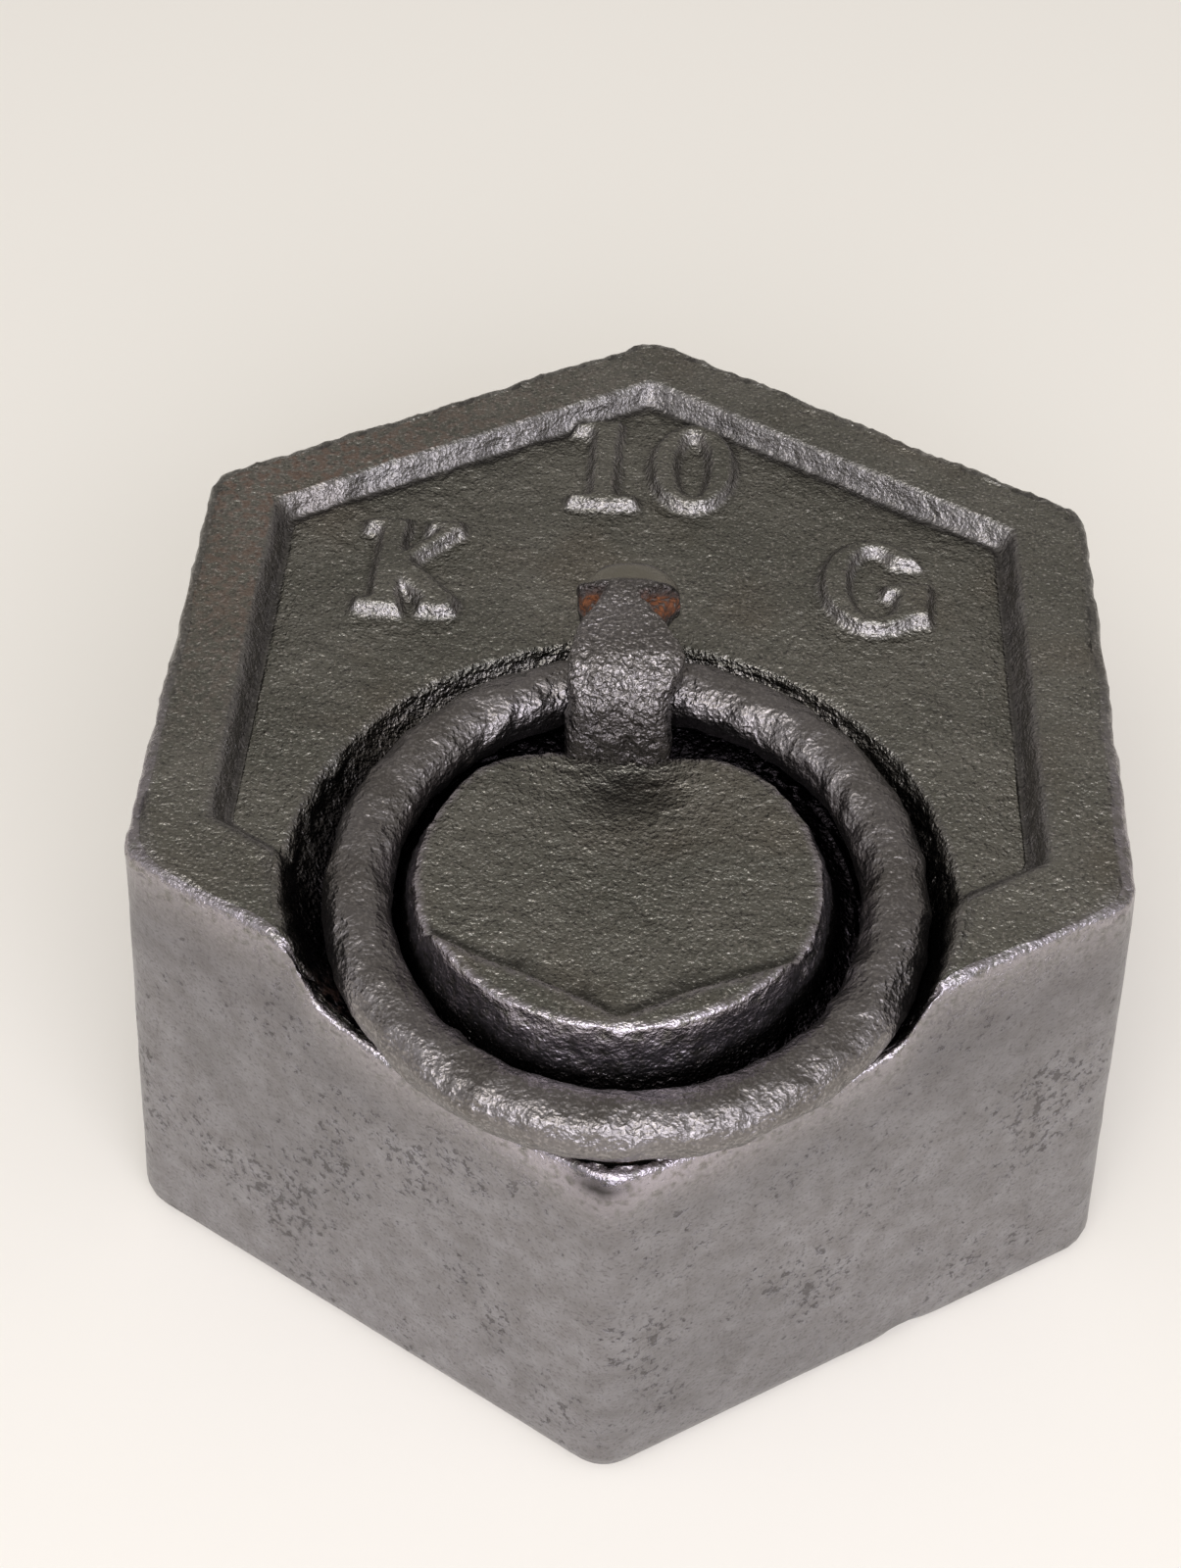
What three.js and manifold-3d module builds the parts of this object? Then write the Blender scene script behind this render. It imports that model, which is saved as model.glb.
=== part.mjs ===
// A ten kilogram scale weight: a six-sided cast iron block with a wrought iron lifting ring.
// Millimetres, +Z up. The origin is the centre of the base. One corner of the block points to -Y,
// and the ring lies in its groove on that side, behind it the raised figures stand towards +Y.

import * as THREE from 'three';
import { mergeVertices } from 'three/addons/utils/BufferGeometryUtils.js';
import Module from 'manifold-3d';

// Block: a six-sided frustum, measured over its sharp corners before rounding.
const HEIGHT = 81;
const TOP_CORNER_RADIUS = 78.5;
const BASE_CORNER_RADIUS = 86.5;
const UPRIGHT_EDGE_ROUND = 7;
const TOP_EDGE_ROUND = 2.2;
const BASE_EDGE_ROUND = 4;

// Sunk panel in the top face, inside a flat rim.
const RIM_WIDTH = 11.1;
const PANEL_DEPTH = 3.5;
const PANEL_WALL_RUN = 2;

// Lifting ring, lying a little lower at the front than at the staple.
const RING_RADIUS = 36.4;
const RING_BAR = 9.4;
const RING_TILT_DEG = 3.5;
const RING_BACK_Y = -0.1;
const RING_BACK_DEPTH = 4;

// Groove that takes the ring, and the round boss that it leaves standing, both cast a little
// to the left of the ring.
const GROOVE_GAP_INSIDE = 3.2;
const GROOVE_GAP_OUTSIDE = 3.4;
const GROOVE_SHIFT_X = -1.15;
const GROOVE_FLOOR_GAP = 0.3;
const GROOVE_DRAFT = 1.2;
const GROOVE_CORNER_ROUND = 4;
const BOSS_FLAT_TO_STAPLE = 0.7;
const BOSS_FLAT_HALF_WIDTH = 15;

// Staple: a flat strap bent over the ring, with both legs let down through the block. It stands
// a little to the left of the middle.
const STAPLE_SHIFT_X = -1.4;
const STRAP_WIDTH = 16;
const STRAP_THICKNESS = 7;
const STAPLE_FRONT_Y = -14.4;
const STAPLE_BACK_Y = 13.8;
const STAPLE_RISE = 10.5;
const STAPLE_FRONT_ROUND = 10;
const STAPLE_BACK_ROUND = 7;
const STAPLE_INNER_ROUND = 3;
const WAIST_DEPTH = 2.2;
const WAIST_Y = -0.8;
const WAIST_LENGTH = 9;
const NOTCH_DEPTH = 3.2;
const NOTCH_LENGTH = 5.5;
const NECK_WIDTH = 5.4;
const BACK_SHOULDER = 6.8;
const LEG_END_Z = 10;
const LEG_BEND_Z = 24;
const LEG_SPLAY = 4;
const LEG_FIT = 0.3;

// Pocket in the underside, wider inside than at its mouth, and the lead that fills it.
const POCKET_MOUTH_RADIUS = 22;
const POCKET_ROOF_RADIUS = 24.5;
const POCKET_HEIGHT = 28;
const LEAD_RECESS = 3.5;
const LEAD_FIT = 0.3;

// Raised figures on the panel.
const FIGURE_RAISE = 2;
const FIGURE_HEIGHT = 20;
const FIGURE_STROKE = 4.6;
const FIGURE_THIN_STROKE = 2.8;
const FIGURE_SERIF = 2.4;
const FIGURE_WIDTH = 11;
const NUMBER_ROW_Y = 48;
const NUMBER_GAP = 3;
const UNIT_ROW_Y = 22.5;
const UNIT_HALF_SPACING = 35;
const UNIT_WIDTH = 16.5;

// Smoothness of round forms.
const CORNER_STEPS = 4;
const EDGE_STEPS = 3;
const RING_STEPS = 64;
const BAR_STEPS = 14;
const POCKET_STEPS = 32;
const ARC_STEPS = 5;
const OVAL_STEPS = 9;

// Joined pieces run this far into each other, and a cut starts this far outside what it cuts.
const OVERLAP = 1;

const wasm = await Module();
wasm.setup();

const COS30 = Math.cos(Math.PI / 6);
const BAR_RADIUS = RING_BAR / 2;
const PANEL_Z = HEIGHT - PANEL_DEPTH;
const STAPLE_TOP_Z = HEIGHT + STAPLE_RISE;
const STAPLE_EYE_Z = STAPLE_TOP_Z - STRAP_THICKNESS;
const RING_TILT = THREE.MathUtils.degToRad(RING_TILT_DEG);
const RING_HINGE = new THREE.Vector3(0, RING_BACK_Y, HEIGHT - RING_BACK_DEPTH);

// A closed geometry as a solid that can be cut and joined.
function solid(geometry) {
  const bare = geometry.clone();
  bare.deleteAttribute('normal');
  bare.deleteAttribute('uv');
  const merged = mergeVertices(bare, 1e-4);
  return new wasm.Manifold(new wasm.Mesh({
    numProp: 3,
    vertProperties: new Float32Array(merged.attributes.position.array),
    triVerts: new Uint32Array(merged.index.array),
  }));
}

// A cut or joined solid as a geometry again.
function geometryOf(body) {
  const mesh = body.getMesh();
  const geometry = new THREE.BufferGeometry();
  geometry.setAttribute('position', new THREE.BufferAttribute(mesh.vertProperties, 3));
  geometry.setIndex(new THREE.BufferAttribute(mesh.triVerts, 1));
  geometry.computeVertexNormals();
  return geometry;
}

// Six-sided outline with rounded corners, one corner towards -Y.
function hexagonOutline(cornerRadius, round, steps = CORNER_STEPS) {
  const points = [];
  const centreRadius = cornerRadius - round / COS30;
  for (let corner = 0; corner < 6; corner += 1) {
    const middle = -Math.PI / 2 + corner * Math.PI / 3;
    for (let step = 0; step <= steps; step += 1) {
      const angle = middle + (step / steps - 0.5) * Math.PI / 3;
      points.push(new THREE.Vector2(
        centreRadius * Math.cos(middle) + round * Math.cos(angle),
        centreRadius * Math.sin(middle) + round * Math.sin(angle),
      ));
    }
  }
  return points;
}

// A closed skin over outlines of equal point count, stacked upwards.
function loft(layers) {
  const count = layers[0].outline.length;
  const positions = [];
  for (const { outline, z } of layers) {
    for (const point of outline) positions.push(point.x, point.y, z);
  }
  const index = [];
  for (let layer = 0; layer + 1 < layers.length; layer += 1) {
    for (let i = 0; i < count; i += 1) {
      const a = layer * count + i;
      const b = layer * count + (i + 1) % count;
      index.push(a, b, b + count, a, b + count, a + count);
    }
  }
  const last = (layers.length - 1) * count;
  for (let i = 1; i + 1 < count; i += 1) {
    index.push(0, i + 1, i);
    index.push(last, last + i, last + i + 1);
  }
  const geometry = new THREE.BufferGeometry();
  geometry.setAttribute('position', new THREE.Float32BufferAttribute(positions, 3));
  geometry.setIndex(index);
  return geometry;
}

// A flat outline in X and Y, raised from one height to another.
function slab(shape, zLow, zHigh) {
  const geometry = new THREE.ExtrudeGeometry(shape, {
    depth: zHigh - zLow,
    bevelEnabled: false,
    curveSegments: OVAL_STEPS,
  });
  return geometry.translate(0, 0, zLow);
}

// A side view drawn in Y and Z, carried across X and centred there.
function acrossX(shape, width) {
  const geometry = new THREE.ExtrudeGeometry(shape, {
    depth: width,
    bevelEnabled: false,
    curveSegments: ARC_STEPS,
  });
  const turn = new THREE.Matrix4().makeBasis(
    new THREE.Vector3(0, 1, 0),
    new THREE.Vector3(0, 0, 1),
    new THREE.Vector3(1, 0, 0),
  );
  return geometry.applyMatrix4(turn).translate(-width / 2, 0, 0);
}

// A box between two corners.
function boxBetween(low, high) {
  const size = new THREE.Vector3().subVectors(high, low);
  const geometry = new THREE.BoxGeometry(size.x, size.y, size.z);
  return geometry.translate(low.x + size.x / 2, low.y + size.y / 2, low.z + size.z / 2);
}

// From the ring's own frame, flat around its centre, to where the ring lies in its groove.
function layInGroove(geometry) {
  return geometry
    .translate(0, -RING_RADIUS, 0)
    .rotateX(RING_TILT)
    .translate(RING_HINGE.x, RING_HINGE.y, RING_HINGE.z);
}

// Outer form of the block, every edge rounded.
function blockForm() {
  const layers = [];
  const addLayer = (z, inset) => {
    const share = z / HEIGHT;
    const corner = THREE.MathUtils.lerp(BASE_CORNER_RADIUS, TOP_CORNER_RADIUS, share);
    const outline = hexagonOutline(corner - inset / COS30, UPRIGHT_EDGE_ROUND - inset);
    layers.push({ outline, z });
  };
  for (let step = 0; step <= EDGE_STEPS; step += 1) {
    const angle = (step / EDGE_STEPS) * Math.PI / 2;
    addLayer(BASE_EDGE_ROUND * (1 - Math.sin(angle)), BASE_EDGE_ROUND * (1 - Math.cos(angle)));
  }
  layers.sort((a, b) => a.z - b.z);
  for (let step = 0; step <= EDGE_STEPS; step += 1) {
    const angle = (step / EDGE_STEPS) * Math.PI / 2;
    addLayer(HEIGHT - TOP_EDGE_ROUND * (1 - Math.sin(angle)), TOP_EDGE_ROUND * (1 - Math.cos(angle)));
  }
  return loft(layers);
}

// The panel as a cut: a shallow six-sided tray with sloped walls.
function panelCut() {
  const topCorner = TOP_CORNER_RADIUS - RIM_WIDTH / COS30;
  const slope = PANEL_WALL_RUN / PANEL_DEPTH / COS30;
  const cornerAt = (aboveRim) => topCorner + slope * aboveRim;
  return loft([
    { outline: hexagonOutline(cornerAt(-PANEL_DEPTH), 0, 1), z: PANEL_Z },
    { outline: hexagonOutline(cornerAt(OVERLAP), 0, 1), z: HEIGHT + OVERLAP },
  ]);
}

// The groove as a cut: a turned trough that follows the ring, with rounded lower corners.
function grooveCut() {
  const inner = RING_RADIUS - BAR_RADIUS - GROOVE_GAP_INSIDE;
  const outer = RING_RADIUS + BAR_RADIUS + GROOVE_GAP_OUTSIDE;
  const floor = -BAR_RADIUS - GROOVE_FLOOR_GAP;
  const top = RING_BACK_DEPTH + 2 * RING_RADIUS * Math.sin(RING_TILT) + RING_BAR;
  const trough = new THREE.Path();
  trough.moveTo(inner - GROOVE_DRAFT, top);
  trough.lineTo(inner, floor + GROOVE_CORNER_ROUND);
  trough.absarc(
    inner + GROOVE_CORNER_ROUND, floor + GROOVE_CORNER_ROUND, GROOVE_CORNER_ROUND,
    Math.PI, 1.5 * Math.PI, false,
  );
  trough.absarc(
    outer - GROOVE_CORNER_ROUND, floor + GROOVE_CORNER_ROUND, GROOVE_CORNER_ROUND,
    1.5 * Math.PI, 2 * Math.PI, false,
  );
  trough.lineTo(outer + GROOVE_DRAFT, top);
  trough.lineTo(inner - GROOVE_DRAFT, top);
  const turned = new THREE.LatheGeometry(trough.getPoints(ARC_STEPS), RING_STEPS);
  return layInGroove(turned.rotateX(Math.PI / 2)).translate(GROOVE_SHIFT_X, 0, 0);
}

// The boss is cut off straight where the staple's front leg comes up.
function bossFlatCut() {
  const floorZ = RING_HINGE.z - BAR_RADIUS - GROOVE_FLOOR_GAP;
  return boxBetween(
    new THREE.Vector3(-BOSS_FLAT_HALF_WIDTH, STAPLE_FRONT_Y + BOSS_FLAT_TO_STAPLE, floorZ),
    new THREE.Vector3(BOSS_FLAT_HALF_WIDTH, RING_HINGE.y, HEIGHT + OVERLAP),
  );
}

// The pocket in the underside as a cut.
function pocketCut() {
  const roof = POCKET_ROOF_RADIUS;
  const grow = (POCKET_ROOF_RADIUS - POCKET_MOUTH_RADIUS) / POCKET_HEIGHT;
  const mouth = POCKET_MOUTH_RADIUS - grow * OVERLAP;
  const height = POCKET_HEIGHT + OVERLAP;
  const cone = new THREE.CylinderGeometry(roof, mouth, height, POCKET_STEPS);
  return cone.rotateX(Math.PI / 2).translate(0, 0, POCKET_HEIGHT - height / 2);
}

// A straight mortise for one leg, from above the block down into the pocket.
function mortiseCut(outerY, inwards) {
  const innerY = outerY + inwards * STRAP_THICKNESS;
  const halfWidth = STRAP_WIDTH / 2 + LEG_FIT;
  return boxBetween(
    new THREE.Vector3(-halfWidth, Math.min(outerY, innerY) - LEG_FIT, POCKET_HEIGHT - OVERLAP),
    new THREE.Vector3(halfWidth, Math.max(outerY, innerY) + LEG_FIT, STAPLE_EYE_Z),
  ).translate(STAPLE_SHIFT_X, 0, 0);
}

// Figures: each stroke is a flat outline on the panel.
function polygon(points) {
  return new THREE.Shape(points.map(([x, y]) => new THREE.Vector2(x, y)));
}

function bar(x0, y0, x1, y1, width) {
  const along = new THREE.Vector2(x1 - x0, y1 - y0).normalize();
  const dx = -along.y * width / 2;
  const dy = along.x * width / 2;
  return polygon([[x0 + dx, y0 + dy], [x0 - dx, y0 - dy], [x1 - dx, y1 - dy], [x1 + dx, y1 + dy]]);
}

function oval(x, y, width, height, sideStroke, endStroke) {
  const shape = new THREE.Shape();
  shape.absellipse(x, y, width / 2, height / 2, 0, 2 * Math.PI, false);
  const hole = new THREE.Path();
  hole.absellipse(x, y, width / 2 - sideStroke, height / 2 - endStroke, 0, 2 * Math.PI, true);
  shape.holes.push(hole);
  return shape;
}

function raised(shapes) {
  const strokes = shapes.map((shape) => solid(slab(shape, PANEL_Z - OVERLAP, PANEL_Z + FIGURE_RAISE)));
  return strokes.reduce((sum, stroke) => sum.add(stroke));
}

// An upright stem with a serif at its foot and head.
function stem(x, y, serifWidth) {
  const half = FIGURE_HEIGHT / 2;
  const serifY = half - FIGURE_SERIF / 2;
  return [
    bar(x, y - half, x, y + half, FIGURE_STROKE),
    bar(x - serifWidth / 2, y - serifY, x + serifWidth / 2, y - serifY, FIGURE_SERIF),
    bar(x - serifWidth / 2, y + serifY, x + serifWidth / 2, y + serifY, FIGURE_SERIF),
  ];
}

function figureOne(x, y) {
  return raised(stem(x, y, FIGURE_WIDTH));
}

function figureNought(x, y) {
  const width = FIGURE_WIDTH + FIGURE_THIN_STROKE;
  return raised([oval(x, y, width, FIGURE_HEIGHT, FIGURE_STROKE, FIGURE_THIN_STROKE)]);
}

function letterK(x, y) {
  const half = FIGURE_HEIGHT / 2;
  const stemX = x - UNIT_WIDTH / 2 + FIGURE_STROKE;
  const armX = x + UNIT_WIDTH / 2 - FIGURE_STROKE / 2;
  const inset = FIGURE_SERIF / 2;
  return raised([
    ...stem(stemX, y, 2 * FIGURE_STROKE),
    bar(stemX, y - inset, armX, y + half - inset, FIGURE_THIN_STROKE),
    bar(stemX, y + inset, armX, y - half + inset, FIGURE_STROKE),
    bar(armX - FIGURE_STROKE, y + half - inset, armX + inset, y + half - inset, FIGURE_SERIF),
    bar(armX - FIGURE_STROKE, y - half + inset, armX + inset, y - half + inset, FIGURE_SERIF),
  ]);
}

function letterG(x, y) {
  const right = x + UNIT_WIDTH / 2;
  const mouth = slab(bar(x + FIGURE_SERIF, y + FIGURE_STROKE / 2, right + OVERLAP,
    y + FIGURE_STROKE / 2, FIGURE_STROKE), PANEL_Z - 2 * OVERLAP, PANEL_Z + FIGURE_RAISE + OVERLAP);
  const round = raised([oval(x, y, UNIT_WIDTH, FIGURE_HEIGHT, FIGURE_STROKE, FIGURE_THIN_STROKE)]);
  const beardX = right - FIGURE_STROKE / 2;
  const beard = raised([
    bar(beardX, y - FIGURE_HEIGHT / 2 + FIGURE_SERIF, beardX, y, FIGURE_STROKE),
    bar(x + FIGURE_SERIF / 2, y - FIGURE_SERIF / 2, right, y - FIGURE_SERIF / 2, FIGURE_SERIF),
  ]);
  return round.subtract(solid(mouth)).add(beard);
}

function figures() {
  const numberX = (FIGURE_WIDTH + NUMBER_GAP) / 2;
  return figureOne(-numberX, NUMBER_ROW_Y)
    .add(figureNought(numberX, NUMBER_ROW_Y))
    .add(letterK(-UNIT_HALF_SPACING, UNIT_ROW_Y))
    .add(letterG(UNIT_HALF_SPACING, UNIT_ROW_Y));
}

// Side view of the staple's arch with straight legs down to the bend.
function archSide() {
  const front = STAPLE_FRONT_Y;
  const back = STAPLE_BACK_Y;
  const frontRound = STAPLE_FRONT_ROUND;
  const backRound = STAPLE_BACK_ROUND;
  const inner = STAPLE_INNER_ROUND;
  const shape = new THREE.Shape();
  shape.moveTo(front, LEG_BEND_Z);
  shape.lineTo(front, STAPLE_TOP_Z - frontRound);
  shape.absarc(
    front + frontRound, STAPLE_TOP_Z - frontRound, frontRound, Math.PI, Math.PI / 2, true,
  );
  shape.absarc(back - backRound, STAPLE_TOP_Z - backRound, backRound, Math.PI / 2, 0, true);
  shape.lineTo(back, LEG_BEND_Z);
  shape.lineTo(back - STRAP_THICKNESS, LEG_BEND_Z);
  shape.absarc(
    back - STRAP_THICKNESS - inner, STAPLE_EYE_Z - inner, inner, 0, Math.PI / 2, false,
  );
  shape.absarc(
    front + STRAP_THICKNESS + inner, STAPLE_EYE_Z - inner, inner, Math.PI / 2, Math.PI, false,
  );
  shape.lineTo(front + STRAP_THICKNESS, LEG_BEND_Z);
  return shape;
}

// Side view of one leg's end, bent outwards below the bend. A fit makes it larger all round.
function legEndSide(outerY, inwards, fit) {
  const outer = outerY - inwards * fit;
  const inner = outerY + inwards * (STRAP_THICKNESS + fit);
  const splay = inwards * LEG_SPLAY;
  const low = LEG_END_Z - fit;
  const high = fit > 0 ? POCKET_HEIGHT + OVERLAP : LEG_BEND_Z + OVERLAP;
  return polygon([
    [outer, high],
    [outer, LEG_BEND_Z],
    [outer - splay, low],
    [inner - splay, low],
    [inner, LEG_BEND_Z],
    [inner, high],
  ]);
}

function legEnds(fit) {
  const width = STRAP_WIDTH + 2 * fit;
  const front = solid(acrossX(legEndSide(STAPLE_FRONT_Y, 1, fit), width));
  return front.add(solid(acrossX(legEndSide(STAPLE_BACK_Y, -1, fit), width)));
}

// The strap is drawn in at a waist, then notched on both sides in front of its back shoulder.
function strapCuts() {
  const half = STRAP_WIDTH / 2;
  const notchBack = STAPLE_BACK_Y - BACK_SHOULDER;
  const notchFront = notchBack - NOTCH_LENGTH;
  const low = STAPLE_TOP_Z - NOTCH_DEPTH;
  const high = STAPLE_TOP_Z + OVERLAP;
  const cuts = [];
  for (const side of [-1, 1]) {
    const waist = polygon([
      [side * (half + OVERLAP), WAIST_Y - WAIST_LENGTH / 2],
      [side * half, WAIST_Y - WAIST_LENGTH / 2],
      [side * (half - WAIST_DEPTH), WAIST_Y],
      [side * half, WAIST_Y + WAIST_LENGTH / 2],
      [side * (half + OVERLAP), WAIST_Y + WAIST_LENGTH / 2],
    ]);
    const notch = polygon([
      [side * (half + OVERLAP), notchBack],
      [side * NECK_WIDTH / 2, notchBack],
      [side * (half - WAIST_DEPTH), notchFront],
      [side * (half + OVERLAP), notchFront],
    ]);
    cuts.push(solid(slab(waist, HEIGHT, high)));
    cuts.push(solid(slab(notch, low, high)));
  }
  return cuts;
}

function staple() {
  const arch = solid(acrossX(archSide(), STRAP_WIDTH)).add(legEnds(0));
  return strapCuts()
    .reduce((rest, cut) => rest.subtract(cut), arch)
    .translate([STAPLE_SHIFT_X, 0, 0]);
}

function block() {
  return solid(blockForm())
    .subtract(solid(panelCut()))
    .subtract(solid(grooveCut()))
    .subtract(solid(bossFlatCut()))
    .add(figures())
    .subtract(solid(mortiseCut(STAPLE_FRONT_Y, 1)))
    .subtract(solid(mortiseCut(STAPLE_BACK_Y, -1)))
    .subtract(solid(pocketCut()));
}

// Lead poured round the spread legs, flush with nothing: it stops just short of the base.
function lead() {
  const height = POCKET_HEIGHT - LEAD_RECESS - LEAD_FIT;
  const slope = (POCKET_ROOF_RADIUS - POCKET_MOUTH_RADIUS) / POCKET_HEIGHT;
  const low = POCKET_MOUTH_RADIUS + slope * LEAD_RECESS - LEAD_FIT;
  const high = low + slope * height;
  const plug = new THREE.CylinderGeometry(high, low, height, POCKET_STEPS);
  plug.rotateX(Math.PI / 2).translate(0, 0, LEAD_RECESS + height / 2);
  return solid(plug).subtract(legEnds(LEG_FIT).translate([STAPLE_SHIFT_X, 0, 0]));
}

function ring() {
  return layInGroove(new THREE.TorusGeometry(RING_RADIUS, BAR_RADIUS, BAR_STEPS, RING_STEPS));
}

const castIron = new THREE.MeshStandardMaterial({ color: 0x4b4b4a, roughness: 0.5, metalness: 0.75 });
const forgedIron = new THREE.MeshStandardMaterial({ color: 0x545354, roughness: 0.45, metalness: 0.8 });
const leadGrey = new THREE.MeshStandardMaterial({ color: 0x6f7275, roughness: 0.7, metalness: 0.7 });

function piece(name, geometry, material) {
  const mesh = new THREE.Mesh(geometry, material);
  mesh.name = name;
  return mesh;
}

const weight = new THREE.Group();
weight.add(piece('cast_block', geometryOf(block()), castIron));
weight.add(piece('lifting_ring', ring(), forgedIron));
weight.add(piece('ring_staple', geometryOf(staple()), forgedIron));
weight.add(piece('lead_fill', geometryOf(lead()), leadGrey));

export default weight;
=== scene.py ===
# %% [markdown]
# # A ten kilogram scale weight
# The object is a six-sided block of cast iron. A wrought iron ring lies in a round groove in its
# top, and a staple holds the ring. Lead in a pocket underneath locks the staple's legs.
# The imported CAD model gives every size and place, so this lesson only dresses it: each visible
# piece is made again as a fine numpy surface with the unevenness of the foundry and the forge.

import math

import bpy
import numpy as np
from mathutils import Matrix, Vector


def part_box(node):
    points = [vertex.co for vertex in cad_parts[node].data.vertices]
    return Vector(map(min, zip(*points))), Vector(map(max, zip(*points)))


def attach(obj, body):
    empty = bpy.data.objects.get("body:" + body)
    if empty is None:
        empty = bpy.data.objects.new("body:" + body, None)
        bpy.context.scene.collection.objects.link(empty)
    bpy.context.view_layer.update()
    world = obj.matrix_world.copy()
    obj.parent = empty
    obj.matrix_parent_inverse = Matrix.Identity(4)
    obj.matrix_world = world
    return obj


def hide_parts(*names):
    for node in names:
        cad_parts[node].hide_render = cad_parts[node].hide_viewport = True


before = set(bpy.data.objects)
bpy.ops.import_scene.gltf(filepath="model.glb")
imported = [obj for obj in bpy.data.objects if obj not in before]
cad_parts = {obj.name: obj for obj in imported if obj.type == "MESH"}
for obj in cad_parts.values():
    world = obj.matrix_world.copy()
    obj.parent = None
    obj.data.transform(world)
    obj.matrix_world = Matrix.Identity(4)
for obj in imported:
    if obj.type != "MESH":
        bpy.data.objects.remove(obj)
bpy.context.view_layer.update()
bpy.context.scene.view_settings.view_transform = "Standard"

# %% [markdown]
# All shapes below are worked out in millimetres, because foundry sizes are easy to judge in them.
# They become metres once, when a mesh is made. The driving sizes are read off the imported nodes
# where a box can give them, and the rest repeat the named values of the CAD source. The ring hangs
# in the middle, and the groove's centre lies a little to the left of the ring's.

# %% Driving sizes in millimetres
MM = 0.001


def node_box(name):
    """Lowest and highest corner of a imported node, in millimetres."""
    low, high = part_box(name)
    return np.array(low) / MM, np.array(high) / MM


HEIGHT = node_box("cast_block")[1][2]
RING_LOW, RING_HIGH = node_box("lifting_ring")
STAPLE_LOW, STAPLE_HIGH = node_box("ring_staple")
LEAD_LOW, LEAD_HIGH = node_box("lead_fill")

TOP_CORNER = 78.5
BASE_CORNER = 86.5
UPRIGHT_BLEND = 3.6
SKIN = 0.25
COS30 = math.cos(math.pi / 6)

BAR = 4.7
RING_RADIUS = (RING_HIGH[0] - RING_LOW[0]) / 2 - BAR
TILT = math.radians(3.5)
RING_BACK_DEPTH = 4
RING_BACK_Y = -0.1
RING_BACK_Z = HEIGHT - RING_BACK_DEPTH
CENTRE_X = -1.15
CENTRE_Y = RING_BACK_Y - RING_RADIUS * math.cos(TILT)
print("height", HEIGHT, "ring radius", round(RING_RADIUS, 2), "groove centre", CENTRE_X, round(CENTRE_Y, 2))

# %% [markdown]
# Cast and forged skins are never quite flat. A sum of a few dozen sine waves in random directions
# gives a smooth, even unevenness whose size is a real length in millimetres. It is worked out for
# all points at once, and a fixed seed makes it the same on every run.


# %% Unevenness
def ripple(points, size, seed, count=40):
    """Sum of sines: each wave runs in its own direction with a wavelength near size, equally strong.

    Wavelengths run from three quarters of size to one and a half times it, and the sum is scaled
    so that its spread is about 1.
    """
    draw = np.random.default_rng(seed)
    direction = draw.normal(size=(3, count))
    direction /= np.linalg.norm(direction, axis=0)
    wavelength = size * draw.uniform(0.75, 1.5, count)
    start = draw.uniform(0, 2 * math.pi, count)
    phase = points @ (direction * 2 * math.pi / wavelength) + start
    return np.sin(phase).sum(axis=-1) * math.sqrt(2 / count)


def smooth_step(low, high, value):
    """0 below low, 1 above high, and 3t squared less 2t cubed between."""
    t = np.clip((value - low) / (high - low), 0, 1)
    return t * t * (3 - 2 * t)


def soft_max(a, b, blend):
    """The larger of two, with a round joint where they are less than blend apart."""
    near = np.clip(1 - np.abs(a - b) / blend, 0, None)
    return np.maximum(a, b) + blend * near * near / 4


def soft_min(a, b, blend):
    """The smaller of two, with a round joint where they are less than blend apart."""
    return -soft_max(-a, -b, blend)


# %% [markdown]
# Every piece is a grid of points that closes round on itself in one direction. In the other it
# either ends in a point at both ends, as a ball does at its poles, or closes too, as a ring does.
# One helper turns such a grid into a mesh, and measures its volume, which is positive only when
# the faces point outwards.


# %% Grid to mesh
def grid_faces(rows, around, closed):
    """Corner numbers of the four-sided faces of a grid that wraps round, row by row."""
    first = np.arange(rows if closed else rows - 1)[:, None]
    column = np.arange(around)[None, :]
    following = (first + 1) % rows
    right = (column + 1) % around
    corners = [
        first * around + column,
        first * around + right,
        following * around + right,
        following * around + column,
    ]
    return np.stack(np.broadcast_arrays(*corners), axis=-1).reshape(-1, 4)


def make_piece(name, grid, closed=False, marks=None):
    """A mesh object from a grid of points in millimetres, shape (rows, around, 3).

    Without closed, the first and last rows become single points. marks are named numbers per
    grid point, kept as attributes for the materials.
    """
    rows, around = grid.shape[:2]
    points = grid.reshape(-1, 3)
    faces = grid_faces(rows, around, closed)
    if not closed:
        number = np.arange(rows * around)
        number[:around] = 0
        number[-around:] = (rows - 1) * around
        faces = number[faces]
    used, renumbered = np.unique(faces, return_inverse=True)
    faces = renumbered.reshape(-1, 4)
    points = points[used]
    corner = points[faces]
    across = np.cross(corner[:, 1] - corner[:, 0], corner[:, 2] - corner[:, 0])
    across += np.cross(corner[:, 2] - corner[:, 0], corner[:, 3] - corner[:, 0])
    volume = np.einsum("ij,ij->", corner.mean(axis=1), across) / 6
    polygons = [list(dict.fromkeys(face)) for face in faces.tolist()]
    mesh = bpy.data.meshes.new(name)
    mesh.from_pydata((points * MM).tolist(), [], polygons)
    mesh.polygons.foreach_set("use_smooth", np.ones(len(polygons), bool))
    for mark, values in (marks or {}).items():
        layer = mesh.attributes.new(mark, "FLOAT", "POINT")
        layer.data.foreach_set("value", values.reshape(-1)[used].astype(np.float32))
    mesh.update()
    piece = bpy.data.objects.new(name, mesh)
    bpy.context.scene.collection.objects.link(piece)
    print(name, len(points), "points,", round(volume / 1000, 1), "cm3")
    return piece


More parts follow.
